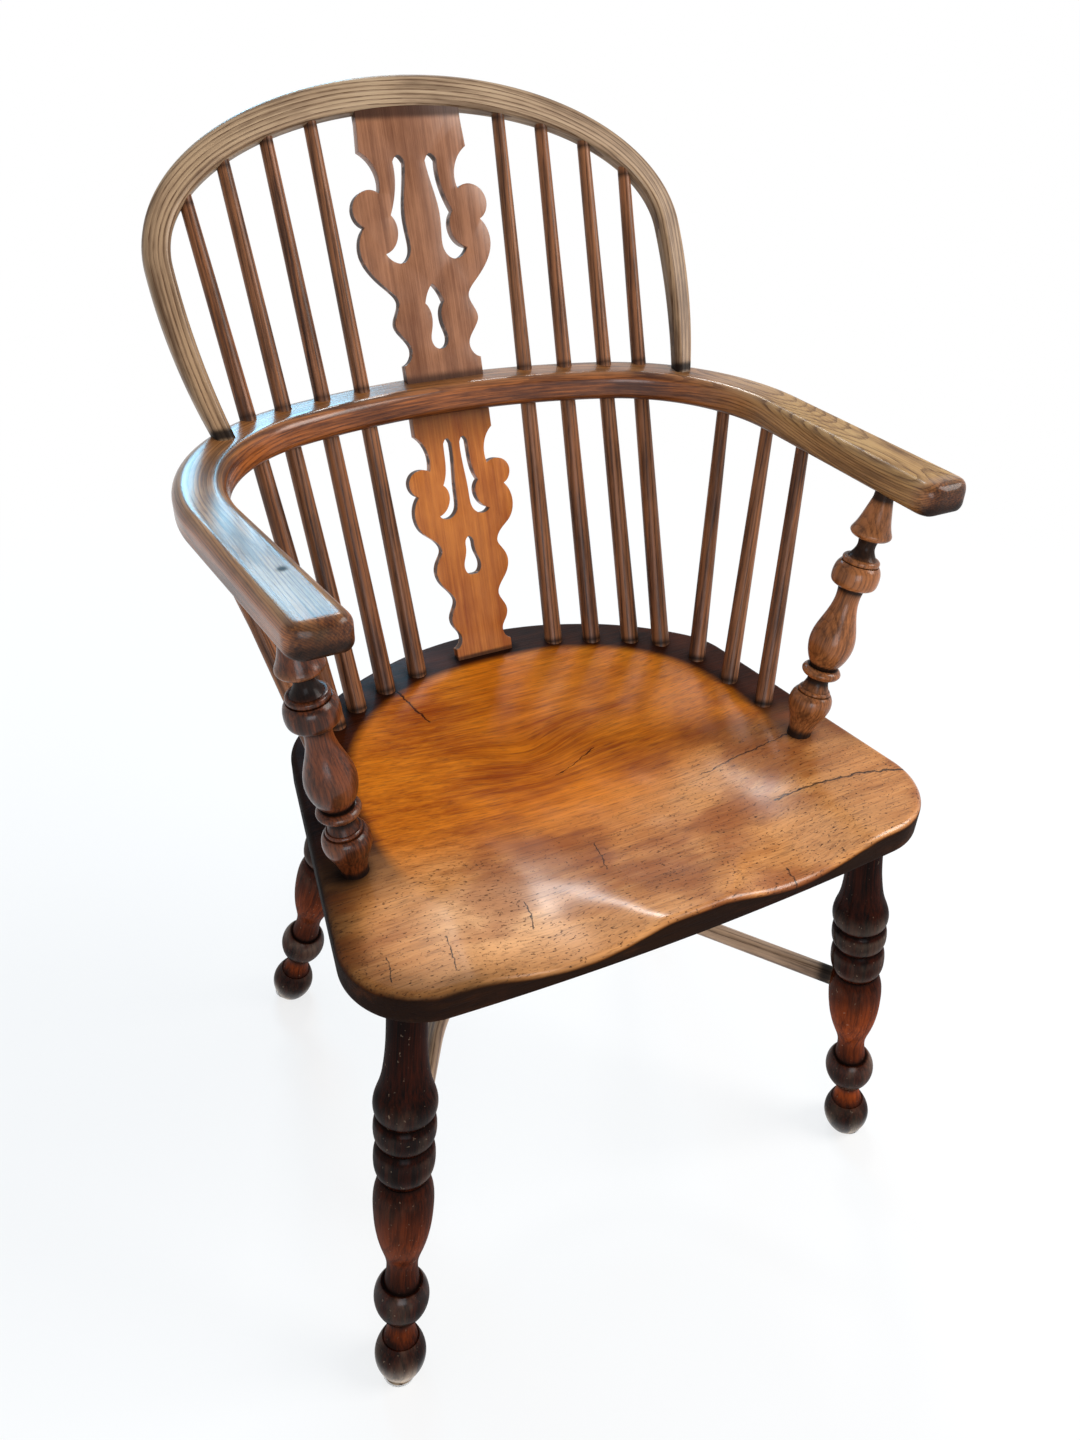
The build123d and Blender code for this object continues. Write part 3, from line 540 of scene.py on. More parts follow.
def on_hoop(across, up, out=0.0):
    """Layout point from the hoop's own plane: across the chair, up its lean and out of its front face."""
    y = HOOP_FOOT_Y + up * sin(HOOP_LEAN) - out * cos(HOOP_LEAN)
    z = ARM_TOP + up * cos(HOOP_LEAN) + out * sin(HOOP_LEAN)
    return np.stack(np.broadcast_arrays(across, y, z), -1)


def long_spindle(side, sign, index, number):
    """Stick from the seat's rim to the hoop's inner edge, 17.4 mm thick at its foot and 11 mm at its tip."""
    x, top_x = LONG_FEET[index], LONG_TOPS[index]
    foot = np.array([sign * x, SEAT_DEPTH - SEAT_BACK_R + sqrt(SEAT_BACK_R**2 - x**2) - DECK_INSET, SEAT_TOP])
    arch = HOOP_RISE - HOOP_CROWN_WIDTH - HOOP_SHOULDER
    tip = on_hoop(sign * top_x, HOOP_SHOULDER + arch * sqrt(1 - (top_x / HOOP_INNER) ** 2) + 5.5)
    length = float(np.linalg.norm(tip - foot))
    slope = length / (tip[2] - foot[2])
    at_bow = slope * ((ARM_TOP + ARM_UNDER) / 2 - SEAT_TOP)
    joints = [0.0, slope * (ARM_UNDER - SEAT_TOP), slope * (ARM_TOP - SEAT_TOP), length - 6]
    low, middle, high = LONG_SIZES
    runs = (((-10, low), (0, low)), ((0, low), (at_bow, middle)), ((at_bow, middle), (length + 3, high)))
    return turned(f"long_spindle_{side}_{index + 1}", "spindle_wood", foot, tip, runs, number, columns=28,
                  step=5.0, tone=0.35 + 0.1 * (number % 4), darkening=[(joint, 3.5, 0.7) for joint in joints])


def short_spindle(side, sign, index, number):
    """Stick from the seat's side rim to the underside of an arm, 16 mm thick at its foot, 11.5 mm on top."""
    foot_y = SUPPORT_FOOT_Y + SHORT_FEET[index] * (SEAT_DEPTH - SUPPORT_FOOT_Y)
    top_y = SUPPORT_TOP_Y + SHORT_TOPS[index] * (BOW_BACK_Y - SUPPORT_TOP_Y)
    foot = np.array([sign * (seat_side(foot_y) - DECK_INSET), foot_y, SEAT_TOP])
    tip = np.array([sign * arm_line(top_y, side), top_y, ARM_UNDER])
    length = float(np.linalg.norm(tip - foot))
    low, high = SHORT_SIZES
    runs = (((-10, low), (0, low)), ((0, low), (length + 12, high)))
    return turned(f"arm_spindle_{side}_{index + 1}", "spindle_wood", foot, tip, runs, number, columns=28,
                  step=5.0, tone=0.3 + 0.1 * (number % 4), darkening=((0.0, 4.0, 0.8), (length, 4.0, 0.8)))


for side, sign in SIDES.items():
    made = [long_spindle(side, sign, i, 10 + 2 * i + (sign > 0)) for i in range(len(LONG_FEET))]
    made += [short_spindle(side, sign, i, 20 + 2 * i + (sign > 0)) for i in range(len(SHORT_FEET))]
    print(side, "spindles:", len(made))

# %% [markdown]
# ## Bent rails
# The arm bow, the hoop and the stretcher are straight ash rails, steamed and bent. A section carried along a
# path gives each one. It is a rounded rectangle that may change on its way, and a point's grain is simply
# how far along the rail, across it and through it the point lies, so the grain bends with the wood.


# %% Carrying a section along a path
def rounded_section(corner, flat):
    """Section in four numbers a point: side (-1 to 1), lift (0 to 1), cosine and sine of its corner arc."""
    quarter = np.linspace(0, pi / 2, corner)
    edge = np.linspace(0, 1, flat + 2)[1:-1]
    parts = []
    turns = ((1, 1, -1, 1), (-1, 1, -1, 0), (-1, 0, 1, 0), (1, 0, 1, 1))
    for step, (side, lift, next_side, next_lift) in enumerate(turns):
        arc, square = quarter + step * pi / 2, np.full(flat, (step + 1) * pi / 2)
        parts.append(np.stack([np.full(corner, side), np.full(corner, lift), np.cos(arc), np.sin(arc)]))
        parts.append(np.stack([side + (next_side - side) * edge, lift + (next_lift - lift) * edge,
                               np.cos(square), np.sin(square)]))
    return np.concatenate(parts, 1)


def carried(centre, across, up, half, low, high, rounds, section):
    """Grid of a section along a path: centre + across * a + up * z, with a and z from the rounded rectangle.
    half, low and high may change along the path. rounds holds the radii of the upper and lower corners."""
    side, lift, arc_cos, arc_sin = section
    half, low, high = (np.broadcast_to(v, len(centre))[:, None] for v in (half, low, high))
    above, below = (np.minimum(r, np.minimum(half * 0.95, (high - low) * 0.48)) for r in rounds)
    radius = np.where(arc_sin > 0, above, below)
    a = side * (half - radius) + radius * arc_cos
    z = (low + below) * (1 - lift) + (high - above) * lift + radius * arc_sin
    return centre[:, None] + a[..., None] * across[:, None] + z[..., None] * up, a, z


def along_path(centre):
    """Distance along a path of points, from its start."""
    return np.concatenate([[0], np.cumsum(np.linalg.norm(np.diff(centre, axis=0), axis=1))])


# %% [markdown]
# ### Arm bow
# One rail makes both arms and the back rail. In plan it is two arms, two tight corners and a flat back arc.
# The arms spread by a different angle on each side, as they do on the real chair, widen a little to the front
# and end in a rounded nose. The log's heart ran close under the rail and rippled near its ends, so the flat
# tops of the arms cut the growth rings in long ovals.

# %% Arm bow
ARM_HALF_WIDTH, ARM_FLARE, ARM_NOSE = 20.0, 0.7, 14.0
ARM_ROUNDS = (9.0, 6.0)
ARM_END_Y = 85.0
BOW_BACK_R, BOW_TURN = 489.5, 72.34
ARM_HEART, ARM_RIPPLE, ARM_RIPPLE_LENGTH, ARM_OVAL = 28.0, 11.0, 80.0, 66.0
ARM_PITS = ((-232, 160, 4.0), (-261, 121, 3.0), (-144, 367, 3.0))


def bow_edge(offset, flare):
    """One edge of the bow in plan from the left arm's end to the right one's: a line, three arcs, a line."""
    radius = ARM_CORNER_R + offset
    halves = []
    for side, sign in SIDES.items():
        toe = ARM_TOE_IN[side] - flare
        swing = np.radians(np.linspace(-toe, BOW_TURN, 120))
        arc = np.stack([ARM_CORNER[0] + radius * np.cos(swing), ARM_CORNER[1] + radius * np.sin(swing)], -1)
        reach = arc[0, 1] - ARM_END_Y
        end = np.array([arc[0, 0] - reach * tan(radians(toe)), ARM_END_Y])
        arm = end + (arc[0] - end) * (1 - np.cos(np.linspace(0, pi / 2, 130)))[:, None]
        halves.append(np.concatenate([arm, arc[1:]]) * (sign, 1))
    back = np.radians(np.linspace(180 - BOW_TURN, BOW_TURN, 140))[1:-1]
    middle = BOW_BACK_Y - BOW_BACK_R
    rear = BOW_BACK_R + offset
    crown = np.stack([rear * np.cos(back), middle + rear * np.sin(back)], -1)
    return np.concatenate([halves[0], crown, halves[1][::-1]])


def quarter_round(distance, radius):
    """How far a rounded end of a radius is cut back at a distance from its tip: r - sqrt(r^2 - (r - d)^2)."""
    short = np.clip(radius - distance, 0, radius)
    return radius - np.sqrt(radius**2 - short**2)


outer, inner = bow_edge(ARM_HALF_WIDTH, ARM_FLARE), bow_edge(-ARM_HALF_WIDTH, -ARM_FLARE)
flat_zero = np.zeros((len(outer), 1))
centre = np.concatenate([(outer + inner) / 2, flat_zero], 1)
width = np.linalg.norm(outer - inner, axis=1)
across = np.concatenate([(outer - inner) / width[:, None], flat_zero], 1)
along = along_path(centre)
to_end = np.minimum(along, along[-1] - along)
half = width / 2 - quarter_round(to_end, ARM_NOSE)
low = ARM_UNDER + quarter_round(to_end, ARM_ROUNDS[1])
high = ARM_TOP - quarter_round(to_end, ARM_ROUNDS[0])
section = rounded_section(9, 9)
grid, a, z = carried(centre, across, np.array([0, 0, 1]), half, low, high, ARM_ROUNDS, section)
facing_up = np.clip(section[3], 0, 1) ** 3
on_arm = np.clip((330 - to_end) / 160, 0, 1)[:, None]
ripple = np.cos((along[-1] - along - ARM_OVAL) / ARM_RIPPLE_LENGTH)[:, None]
to_right = np.clip(2 * along / along[-1] - 0.6, 0.2, 1)[:, None]
inward = np.clip(-a / half[:, None], 0, 1) ** 3 * np.clip((to_right - 0.8) / 0.2, 0, 1) * 0.8
rising = ARM_HEART + ARM_RIPPLE * ripple * on_arm * to_right
# The lower half of the rail is darkened as painted shade beneath it; the nose's end grain and the pits are
# darker too.
grime_and_shade = np.clip(0.5 * (ARM_UNDER + ARM_TOP) - z, 0, None) / 22 + 0.6 * near_to(to_end, 0, 8.0)[:, None]
bare = np.clip(facing_up + inward, 0, 1) * np.clip((to_end - 3) / 18, 0, 1)[:, None]
for pit_x, pit_y, reach in ARM_PITS:
    grime_and_shade = grime_and_shade + near_to(np.hypot(grid[..., 0] - pit_x, grid[..., 1] - pit_y), 0, reach) * facing_up
marks = {"grain": in_the_log((along - along[-1])[:, None], a - 21, z - ARM_TOP + rising, 33), "grime_and_shade": grime_and_shade,
         "wear": on_arm * facing_up * 0.35 + 0 * z, "tone": bare * (0.3 + on_arm * (0.25 + 0.5 * to_right))}
skin("arm_bow", "arm_ash", grid, marks, 50)
print("arm bow rail length in mm:", round(along[-1]))

# %% [markdown]
# ### Hoop
# The hoop leans back more than the splats, so that its crown meets them. Half an ellipse makes its arch and
# two long arcs draw its legs in to the bow. It is widest at the crown and slims towards its feet.

# %% Hoop
HOOP_THICK, HOOP_ROUND, HOOP_FOOT_IN = 16.0, 5.0, 12.0
HOOP_FOOT_OUTER, HOOP_FOOT_INNER = 221.0, 205.0


def hoop_edge(half, rise, foot_half):
    """Hoop edge from foot to foot: on each side an arc that widens from foot_half, then an elliptic arch."""
    sweep = np.linspace(pi / 2, 0, 130)
    arch = np.stack([half * np.cos(sweep), HOOP_SHOULDER + (rise - HOOP_SHOULDER) * np.sin(sweep)], -1)
    inset = half - foot_half
    radius = (HOOP_SHOULDER**2 + inset**2) / (2 * inset)
    up = np.linspace(HOOP_SHOULDER, -HOOP_FOOT_IN, 60)[1:]
    flank = np.stack([half - radius + np.sqrt(radius**2 - (HOOP_SHOULDER - up) ** 2), up], -1)
    right = np.concatenate([arch, flank])
    return np.concatenate([right[:0:-1] * (-1, 1), right])


outer = hoop_edge(HOOP_OUTER, HOOP_RISE, HOOP_FOOT_OUTER)
inner = hoop_edge(HOOP_INNER, HOOP_RISE - HOOP_CROWN_WIDTH, HOOP_FOOT_INNER)
width = np.linalg.norm(outer - inner, axis=1)
middle = (outer + inner) / 2
centre = on_hoop(middle[:, 0], middle[:, 1])
across = (on_hoop(outer[:, 0], outer[:, 1]) - on_hoop(inner[:, 0], inner[:, 1])) / width[:, None]
face = np.array([0, -cos(HOOP_LEAN), sin(HOOP_LEAN)])
along = along_path(centre)
to_end = np.minimum(along, along[-1] - along)
grid, a, z = carried(centre, across, face, width / 2, -HOOP_THICK / 2, HOOP_THICK / 2,
                     (HOOP_ROUND, HOOP_ROUND), rounded_section(7, 5))
inward = np.clip(-a / (width[:, None] / 2), 0, 1)
foot_grime = near_to(to_end, HOOP_FOOT_IN, 5.0)[:, None]
marks = {"grain": in_the_log(along[:, None], a, z, 30), "grime_and_shade": 0.35 * inward**6 + foot_grime + 0 * z,
         "wear": 0.3 * np.clip(z / HOOP_THICK + 0.5, 0, 1),
         "tone": 0.25 + 0.75 * near_to(along, along[-1] / 2, 300.0)[:, None] + 0 * z}
skin("back_hoop", "hoop_ash", grid, marks, 50)
print("hoop rail length in mm:", round(along[-1]))

# %% [markdown]
# ### Stretchers
# The stretcher is a round rod bent into a bow between the front legs, and two short stubs tie it to the rear
# legs. The path is two straight runs joined by an arc, a little to one side of the middle.

# %% Stretchers
ROD_R, ROD_BEND, ROD_REACH, ROD_ASIDE, ROD_SHY = 8.5, 179.0, 347.0, -16.5, 6.0
STUB_SPAN = 92.0


def leg_at(corner, height):
    """Point of a leg's middle line at a height."""
    foot, top = np.array(LEG_FEET[corner], float), np.array(LEG_TOPS[corner], float)
    return foot + (top - foot) * height / SEAT_UNDER


left, right = leg_at("front_left", STRETCHER_HEIGHT), leg_at("front_right", STRETCHER_HEIGHT)
apex = np.array([ROD_ASIDE, (left[1] + right[1]) / 2 + ROD_REACH, STRETCHER_HEIGHT])
arms = [(end - apex) / np.linalg.norm(end - apex) for end in (left, right)]
half_angle = np.arccos(arms[0] @ arms[1]) / 2
tangent = ROD_BEND / tan(half_angle)
hub = apex + (arms[0] + arms[1]) / np.linalg.norm(arms[0] + arms[1]) * ROD_BEND / sin(half_angle)
spokes = [apex + arm * tangent - hub for arm in arms]
swing = np.linspace(0, 1, 160)[:, None]
whole = pi - 2 * half_angle
bend = hub + (np.sin((1 - swing) * whole) * spokes[0] + np.sin(swing * whole) * spokes[1]) / sin(whole)
run = np.linspace(0, 1, 40)[:-1, None]
start, finish = (end - arm * ROD_SHY for end, arm in zip((left, right), arms))
path = np.concatenate([start + (bend[0] - start) * run, bend, finish + (bend[-1] - finish) * run[::-1]])
heading = np.gradient(path, axis=0)
heading = heading / np.linalg.norm(heading, axis=1)[:, None]
across = np.cross(heading, (0, 0, 1))
along = along_path(path)
round_bar = rounded_section(10, 1)
grid, a, z = carried(path, across, np.array([0, 0, 1]), ROD_R, -ROD_R, ROD_R, (ROD_R, ROD_R), round_bar)
to_end = np.minimum(along, along[-1] - along)[:, None]
marks = {"grain": in_the_log(along[:, None], a, z, 35), "grime_and_shade": near_to(to_end, 22.0, 9.0) + 0 * a,
         "wear": 0.4 * np.clip(z / ROD_R, 0, 1), "tone": 0.6 + 0 * a}
skin("stretcher_bow", "stretcher_wood", grid, marks, 60)

for number, (side, sign) in enumerate(SIDES.items(), start=36):
    joint = np.array([np.interp(along[-1] / 2 + sign * STUB_SPAN, along, path[:, i]) for i in range(3)])
    heel = leg_at("rear_" + side, STRETCHER_HEIGHT)
    length = float(np.linalg.norm(heel - joint))
    runs = (((-3, 10), (30, 15)), ((30, 15), (length - 30, 15)), ((length - 30, 15), (length - 8, 13)))
    turned(f"rear_stretcher_{side}", "stretcher_wood", joint, heel, runs, number, columns=28, step=4.0,
           tone=0.4, darkening=((6.0, 6.0, 1.0), (length - 22, 7.0, 0.9)))
print("stretcher length in mm:", round(along[-1]))

# %% [markdown]
# ## Seat
# The seat is one elm plank, its grain running from side to side. A maker hollows it with an adze: a wide dish
# for the sitter, a channel for each thigh that runs out over the front edge, and a ridge between them. The
# surface is a polar grid: rays from a point in the dish out to the rim, over the rounded edge, down the side,
# in along the bevel and back underneath. Its height is the flat top less the three hollows, joined
# so that no crease is left between them.

# %% Seat outline
FRONT_CORNER_R, BACK_CORNER_R = 62.0, 70.0
FRONT_ARC_R = (FRONT_HALF**2 + SEAT_SWELL**2) / (2 * SEAT_SWELL)
FRONT_HUB = np.array([0.0, FRONT_ARC_R - SEAT_SWELL])
BACK_HUB = np.array([0.0, SEAT_DEPTH - SEAT_BACK_R])


def corner_round(hub, big, small, late):
    """Centre of a corner arc of radius small that touches the straight side and an arc of radius big round
    hub. It lies on the line beside the seat's side, at the later or the earlier root of a square equation."""
    point = np.array([FRONT_HALF, 0.0])
    side = np.array([WAIST_HALF - FRONT_HALF, SIDE_LENGTH])
    side = side / np.linalg.norm(side)
    inward = np.array([-side[1], side[0]])
    shift = point + inward * small - hub
    b, c = shift @ side, shift @ shift - (big - small) ** 2
    t = -b + (1 if late else -1) * sqrt(b**2 - c)
    return point + inward * small + side * t, inward


def swept(centre, radius, first, last, count):
    """Arc about a centre between two directions, given as points it faces."""
    start, stop = (np.arctan2(*(p - centre)[::-1]) for p in (first, last))
    angle = np.linspace(start, start + (stop - start + pi) % (2 * pi) - pi, count)
    return centre + radius * np.stack([np.cos(angle), np.sin(angle)], -1)


def seat_outline(count):
    """Closed outline in plan with evenly spread points, and its outward normals."""
    front, inward = corner_round(FRONT_HUB, FRONT_ARC_R, FRONT_CORNER_R, False)
    back, _ = corner_round(BACK_HUB, SEAT_BACK_R, BACK_CORNER_R, True)
    tip = FRONT_HUB + (front - FRONT_HUB) * FRONT_ARC_R / (FRONT_ARC_R - FRONT_CORNER_R)
    shoulder = BACK_HUB + (back - BACK_HUB) * SEAT_BACK_R / (SEAT_BACK_R - BACK_CORNER_R)
    side_start, side_end = front - inward * FRONT_CORNER_R, back - inward * BACK_CORNER_R
    right = np.concatenate([
        swept(FRONT_HUB, FRONT_ARC_R, np.array([0.0, -SEAT_SWELL]), tip, 200),
        swept(front, FRONT_CORNER_R, tip, side_start, 120)[1:],
        side_start + (side_end - side_start) * np.linspace(0, 1, 160)[1:, None],
        swept(back, BACK_CORNER_R, side_end, shoulder, 80)[1:],
        swept(BACK_HUB, SEAT_BACK_R, shoulder, np.array([0.0, SEAT_DEPTH]), 200)[1:],
    ])
    loop = np.concatenate([right, right[-2:0:-1] * (-1, 1)])
    loop = np.concatenate([loop, loop[:1]])
    along = along_path(loop)
    even = np.linspace(0, along[-1], count, endpoint=False)
    loop = np.stack([np.interp(even, along, loop[:, i]) for i in (0, 1)], -1)
    heading = np.roll(loop, -1, 0) - np.roll(loop, 1, 0)
    heading = heading / np.linalg.norm(heading, axis=1)[:, None]
    return loop, np.stack([heading[:, 1], -heading[:, 0]], -1)


# %% Seat surface
DISH_MIDDLE, DISH_HALF, DISH_DEPTH, DISH_SQUARE = np.array([0.0, 171.0]), (184.0, 181.0), 16.0, 2.4
THIGH_GAP, THIGH_HALF, THIGH_DEPTH, THIGH_RISE = 98.0, 62.0, 13.0, tan(radians(2.8))
EDGE_ROUND, EDGE_BEVEL = 5.5, 13.0
KNOT = (-23.0, 220.0)
ADZE = 0.14


def soft_max(first, second, width):
    """The larger of two heights, with the crease between them rounded over a width."""
    near = np.clip(width - np.abs(first - second), 0, None)
    return np.maximum(first, second) + near**2 / (4 * width)


def dish_share(x, y):
    """0 at the dish's middle and 1 on its rim, which is squarer than an ellipse."""
    across, back = np.abs(x - DISH_MIDDLE[0]) / DISH_HALF[0], np.abs(y - DISH_MIDDLE[1]) / DISH_HALF[1]
    return (across**DISH_SQUARE + back**DISH_SQUARE) ** (1 / DISH_SQUARE)


def saddle(x, y):
    """Height of the seat's top: the flat plank less the dish and the two thigh channels, each rounded where
    it starts, and joined as the cube root of the sum of their cubes, which leaves no crease. Shallow waves
    are left from the adze: products of two sines."""
    level = np.zeros_like(x)
    cubes = soft_max(DISH_DEPTH * (1 - dish_share(x, y) ** 2), level, 2.0) ** 3
    for sign in SIDES.values():
        channel = THIGH_DEPTH * (1 - ((x - sign * THIGH_GAP) / THIGH_HALF) ** 2) - THIGH_RISE * y
        cubes = cubes + soft_max(channel, level, 9.0) ** 3
    depth = np.cbrt(cubes)
    waves = np.sin(x / 15) * np.sin(y / 11) + 0.6 * np.sin((x + y) / 8) * np.sin((x - y) / 13)
    return SEAT_TOP - depth - ADZE * waves * np.clip(depth / 4, 0, 1)


def seat_rows(loop, outward):
    """Rows of the polar grid as plan points and heights, from the dish's middle round to the underside's."""
    top_edge = loop - outward * EDGE_ROUND
    share = np.linspace(0.01, 1, 120)[:, None, None]
    top = DISH_MIDDLE + share * (top_edge - DISH_MIDDLE)
    rows, heights = [top], [saddle(top[..., 0], top[..., 1])]
    rim = heights[0][-1]
    turn = np.linspace(0, pi / 2, 8)[1:, None]
    rows.append(loop - outward * (EDGE_ROUND * (1 - np.sin(turn)))[..., None])
    heights.append(rim - EDGE_ROUND * (1 - np.cos(turn)))
    side_foot = SEAT_UNDER + EDGE_BEVEL
    drop = np.linspace(0, 1, 7)[1:, None]
    rows.append(np.repeat(loop[None], len(drop), 0))
    heights.append((rim - EDGE_ROUND) * (1 - drop) + side_foot * drop)
    rows.append(loop - outward * (EDGE_BEVEL * drop)[..., None])
    heights.append(side_foot - EDGE_BEVEL * drop * np.ones(len(loop)))
    under = loop - outward * EDGE_BEVEL
    rows.append(DISH_MIDDLE + share[-2::-4] * (under - DISH_MIDDLE))
    heights.append(np.full(rows[-1].shape[:2], SEAT_UNDER))
    return np.concatenate(rows), np.concatenate(heights)


loop, outward = seat_outline(480)
plan, height = seat_rows(loop, outward)
x, y = plan[..., 0], plan[..., 1]
grid = np.concatenate([plan, height[..., None]], -1)
below = np.clip((saddle(x, y) - height - 1.0) / 4.0, 0, 1)
stood_on = [(sign * px, SEAT_DEPTH - SEAT_BACK_R + sqrt(SEAT_BACK_R**2 - px**2) - DECK_INSET, 12.0)
            for px in LONG_FEET for sign in SIDES.values()]
for side, sign in SIDES.items():
    stood_on.append((sign * (seat_side(SUPPORT_FOOT_Y) - SUPPORT_INSET[side]), SUPPORT_FOOT_Y, 15.0))
    stood_on += [(sign * (seat_side(fy) - DECK_INSET), fy, 12.0)
                 for fy in (SUPPORT_FOOT_Y + s * (SEAT_DEPTH - SUPPORT_FOOT_Y) for s in SHORT_FEET)]
darkening = sum(near_to(np.hypot(x - fx, y - fy), 0, reach) for fx, fy, reach in stood_on)
darkening = darkening + near_to(y, 366.0, 11.0) * np.clip((42 - np.abs(x)) / 12, 0, 1)
rim = np.clip((dish_share(x, y) - 0.985) / 0.05, 0, 1) * np.clip((y - 45) / 60, 0, 1)
front = np.clip((185 - y) / 175, 0, 1)
# Along the outline the top is darkened as painted shade, a little all round and most on the left.
to_edge = np.linalg.norm(loop - plan, axis=2)
left_share = np.clip((-x - 40) / 150, 0, 1)
darkening = darkening + near_to(to_edge, 0, 34.0) * (0.1 + 0.8 * left_share)
front = front + 0.9 * near_to(np.hypot((x + 130) / 1.5, y - 62), 0, 42.0)
front = front + 0.45 * near_to(np.hypot((x - 140) / 1.2, y - 125), 0, 65.0)
swirl = near_to(np.hypot(x - KNOT[0], (y - KNOT[1]) * 1.3), 0, 42.0)
# The sides, bevel and underside, below the top, get the whole mark: painted shade, nearly black.
marks = {"grain": np.stack([x, y + 17 * swirl, height - SEAT_TOP], -1) * MM,
         "grime_and_shade": np.clip(0.75 * darkening, 0, 0.9) * (1 - below) + below,
         "wear": front * (1 - below), "tone": 1 - rim}
seat = skin("seat", "seat_elm", grid, marks, 50)
print(seat.name, len(seat.data.polygons), "faces")

# %% [markdown]
# ## Splats
# The two splats are thin boards sawn to a fretted outline. Their CAD solids already have that outline, so a
# copy of each is merged, its long triangles are joined into flat faces, and a small bevel rubs the sawn
# edges. The board's grain runs up its lean.

# %% Splats
SPLAT_FOOT = np.array([0.0, 369.0, SEAT_TOP])
SPLAT_EDGE = 0.0011


def splat(node, slot):
    """Fretted board: the CAD outline with rubbed edges, and grain marks up, across and through the board."""
    shape = bmesh.new()
    shape.from_mesh(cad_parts[node].data)
    bmesh.ops.remove_doubles(shape, verts=shape.verts, dist=1e-6)
    bmesh.ops.dissolve_limit(shape, angle_limit=radians(0.5), verts=shape.verts, edges=shape.edges)
    sharp = [e for e in shape.edges if len(e.link_faces) == 2 and e.calc_face_angle() > radians(60)]
    bmesh.ops.bevel(shape, geom=sharp, offset=SPLAT_EDGE, segments=3, profile=0.5,
                    affect="EDGES", clamp_overlap=True)
    bmesh.ops.triangulate(shape, faces=shape.faces)
    mesh = bpy.data.meshes.new(node + "_wood")
    shape.to_mesh(mesh)
    shape.free()
    mesh.shade_smooth()
    mesh.set_sharp_from_angle(angle=radians(40))
    points = np.empty(len(mesh.vertices) * 3, np.float32)
    mesh.vertices.foreach_get("co", points)
    place = points.reshape(-1, 3) - (SPLAT_FOOT + SHIFT) * MM
    up, face = np.array([0, sin(BACK_LEAN), cos(BACK_LEAN)]), np.array([0, -cos(BACK_LEAN), sin(BACK_LEAN)])
    depth = place @ face
    off_middle = np.abs(depth - (depth.max() + depth.min()) / 2)
    # The sawn walls of the outline and the frets are marked for painted shade.
    sawn = (off_middle < np.ptp(depth) / 2 - SPLAT_EDGE / 2).astype(float)
    board = np.stack([place @ up, place[:, 0], depth], -1)
    marks = {"grain": board, "grime_and_shade": 0.85 * sawn, "wear": np.zeros(len(board)),
             "tone": np.full(len(board), 0.5)}
    return dress(mesh, marks, node, slot)


lower_splat = splat("lower_splat", "lower_splat_wood")
upper_splat = splat("upper_splat", "upper_splat_wood")
print("splat faces:", len(lower_splat.data.polygons), len(upper_splat.data.polygons))

# %% [markdown]
# ## Finishes
# Under its wax each timber has the same parts: broad streaks, fine fibres, growth rings that end in a dark
# line of pores, and blotches in the polish. Noise that is stretched along the grain gives each of them.
# Then come two centuries of use: grime settles in the joints, and hands and clothes rub the edges pale, while
# shade is painted on as darkening in grooves and under or beside other parts. The grain mark was laid along
# each piece, so one recipe follows a turned leg and a bent rail alike. The wax is a clear coat, thinner under
# grime and painted shade, and where wear has taken it off.

# %% Parts of a timber
# Near-black for grime at joints and for painted shade; the splits of the seat use it too.
GRIME_AND_SHADE = (0.005, 0.003, 0.0025)


def marks_of(pen):
    """The four marks of a piece as strands: the grain's vector, then grime with painted shade, wear and tone.
    """
    names = ("grime_and_shade", "wear", "tone")
    values = (pen.add("Attribute", {"attribute_name": name}, {}, output=2) for name in names)
    return pen.add("Attribute", {"attribute_name": "grain"}, {}, output=1), *values


def figure(grain, pitch):
    """Streaks, fibres, pore lines and blotches: noise drawn out along the grain, broken ring ends."""
    streaks = grain.noise((5, 150, 150), 3.0)
    fibres = grain.noise((13, 560, 560), 4.0, 0.65)
    dashes = grain.noise((60, 1500, 1500), 2.0).between(0.42, 0.60)
    lines = grain.rings(pitch, 2.0).between(0.5, 0.95) * (dashes * 0.5 + 0.5)
    blotches = grain.noise((14, 34, 34), 4.0, 0.6, (3.1, 1.7, 7.3))
    return streaks, fibres, lines, blotches


def polish(slot, pen, colour, rough, height, coat, coat_rough, gleam=0.06):
    """Wax over the wood: colour, roughness, coat and a fine bump on one shader, for every piece of a slot."""
    bump = pen.add("Bump", {}, {"Strength": 1.0, "Distance": 0.0007, "Height": height})
    wood = {"Base Color": colour, "Roughness": rough, "Normal": bump, "Specular IOR Level": gleam}
    wax = {"Coat Weight": coat, "Coat Roughness": coat_rough}
    shader = pen.add("BsdfPrincipled", {}, {**wood, **wax})
    pen.add("OutputMaterial", {}, {"Surface": shader})
    for piece in by_slot[slot]:
        piece.data.materials.append(paints[slot])


paints = {slot: bpy.data.materials.new(slot + "_finish") for slot in by_slot}
print("finishes to make:", sorted(paints))

# %% [markdown]
# ### Rails, turnings and spindles
# These differ only in their colours, the spacing of their rings and how glossy the wax is. Shoes keep
# the beads of the legs bright, while the rest of the legs has gone dull.


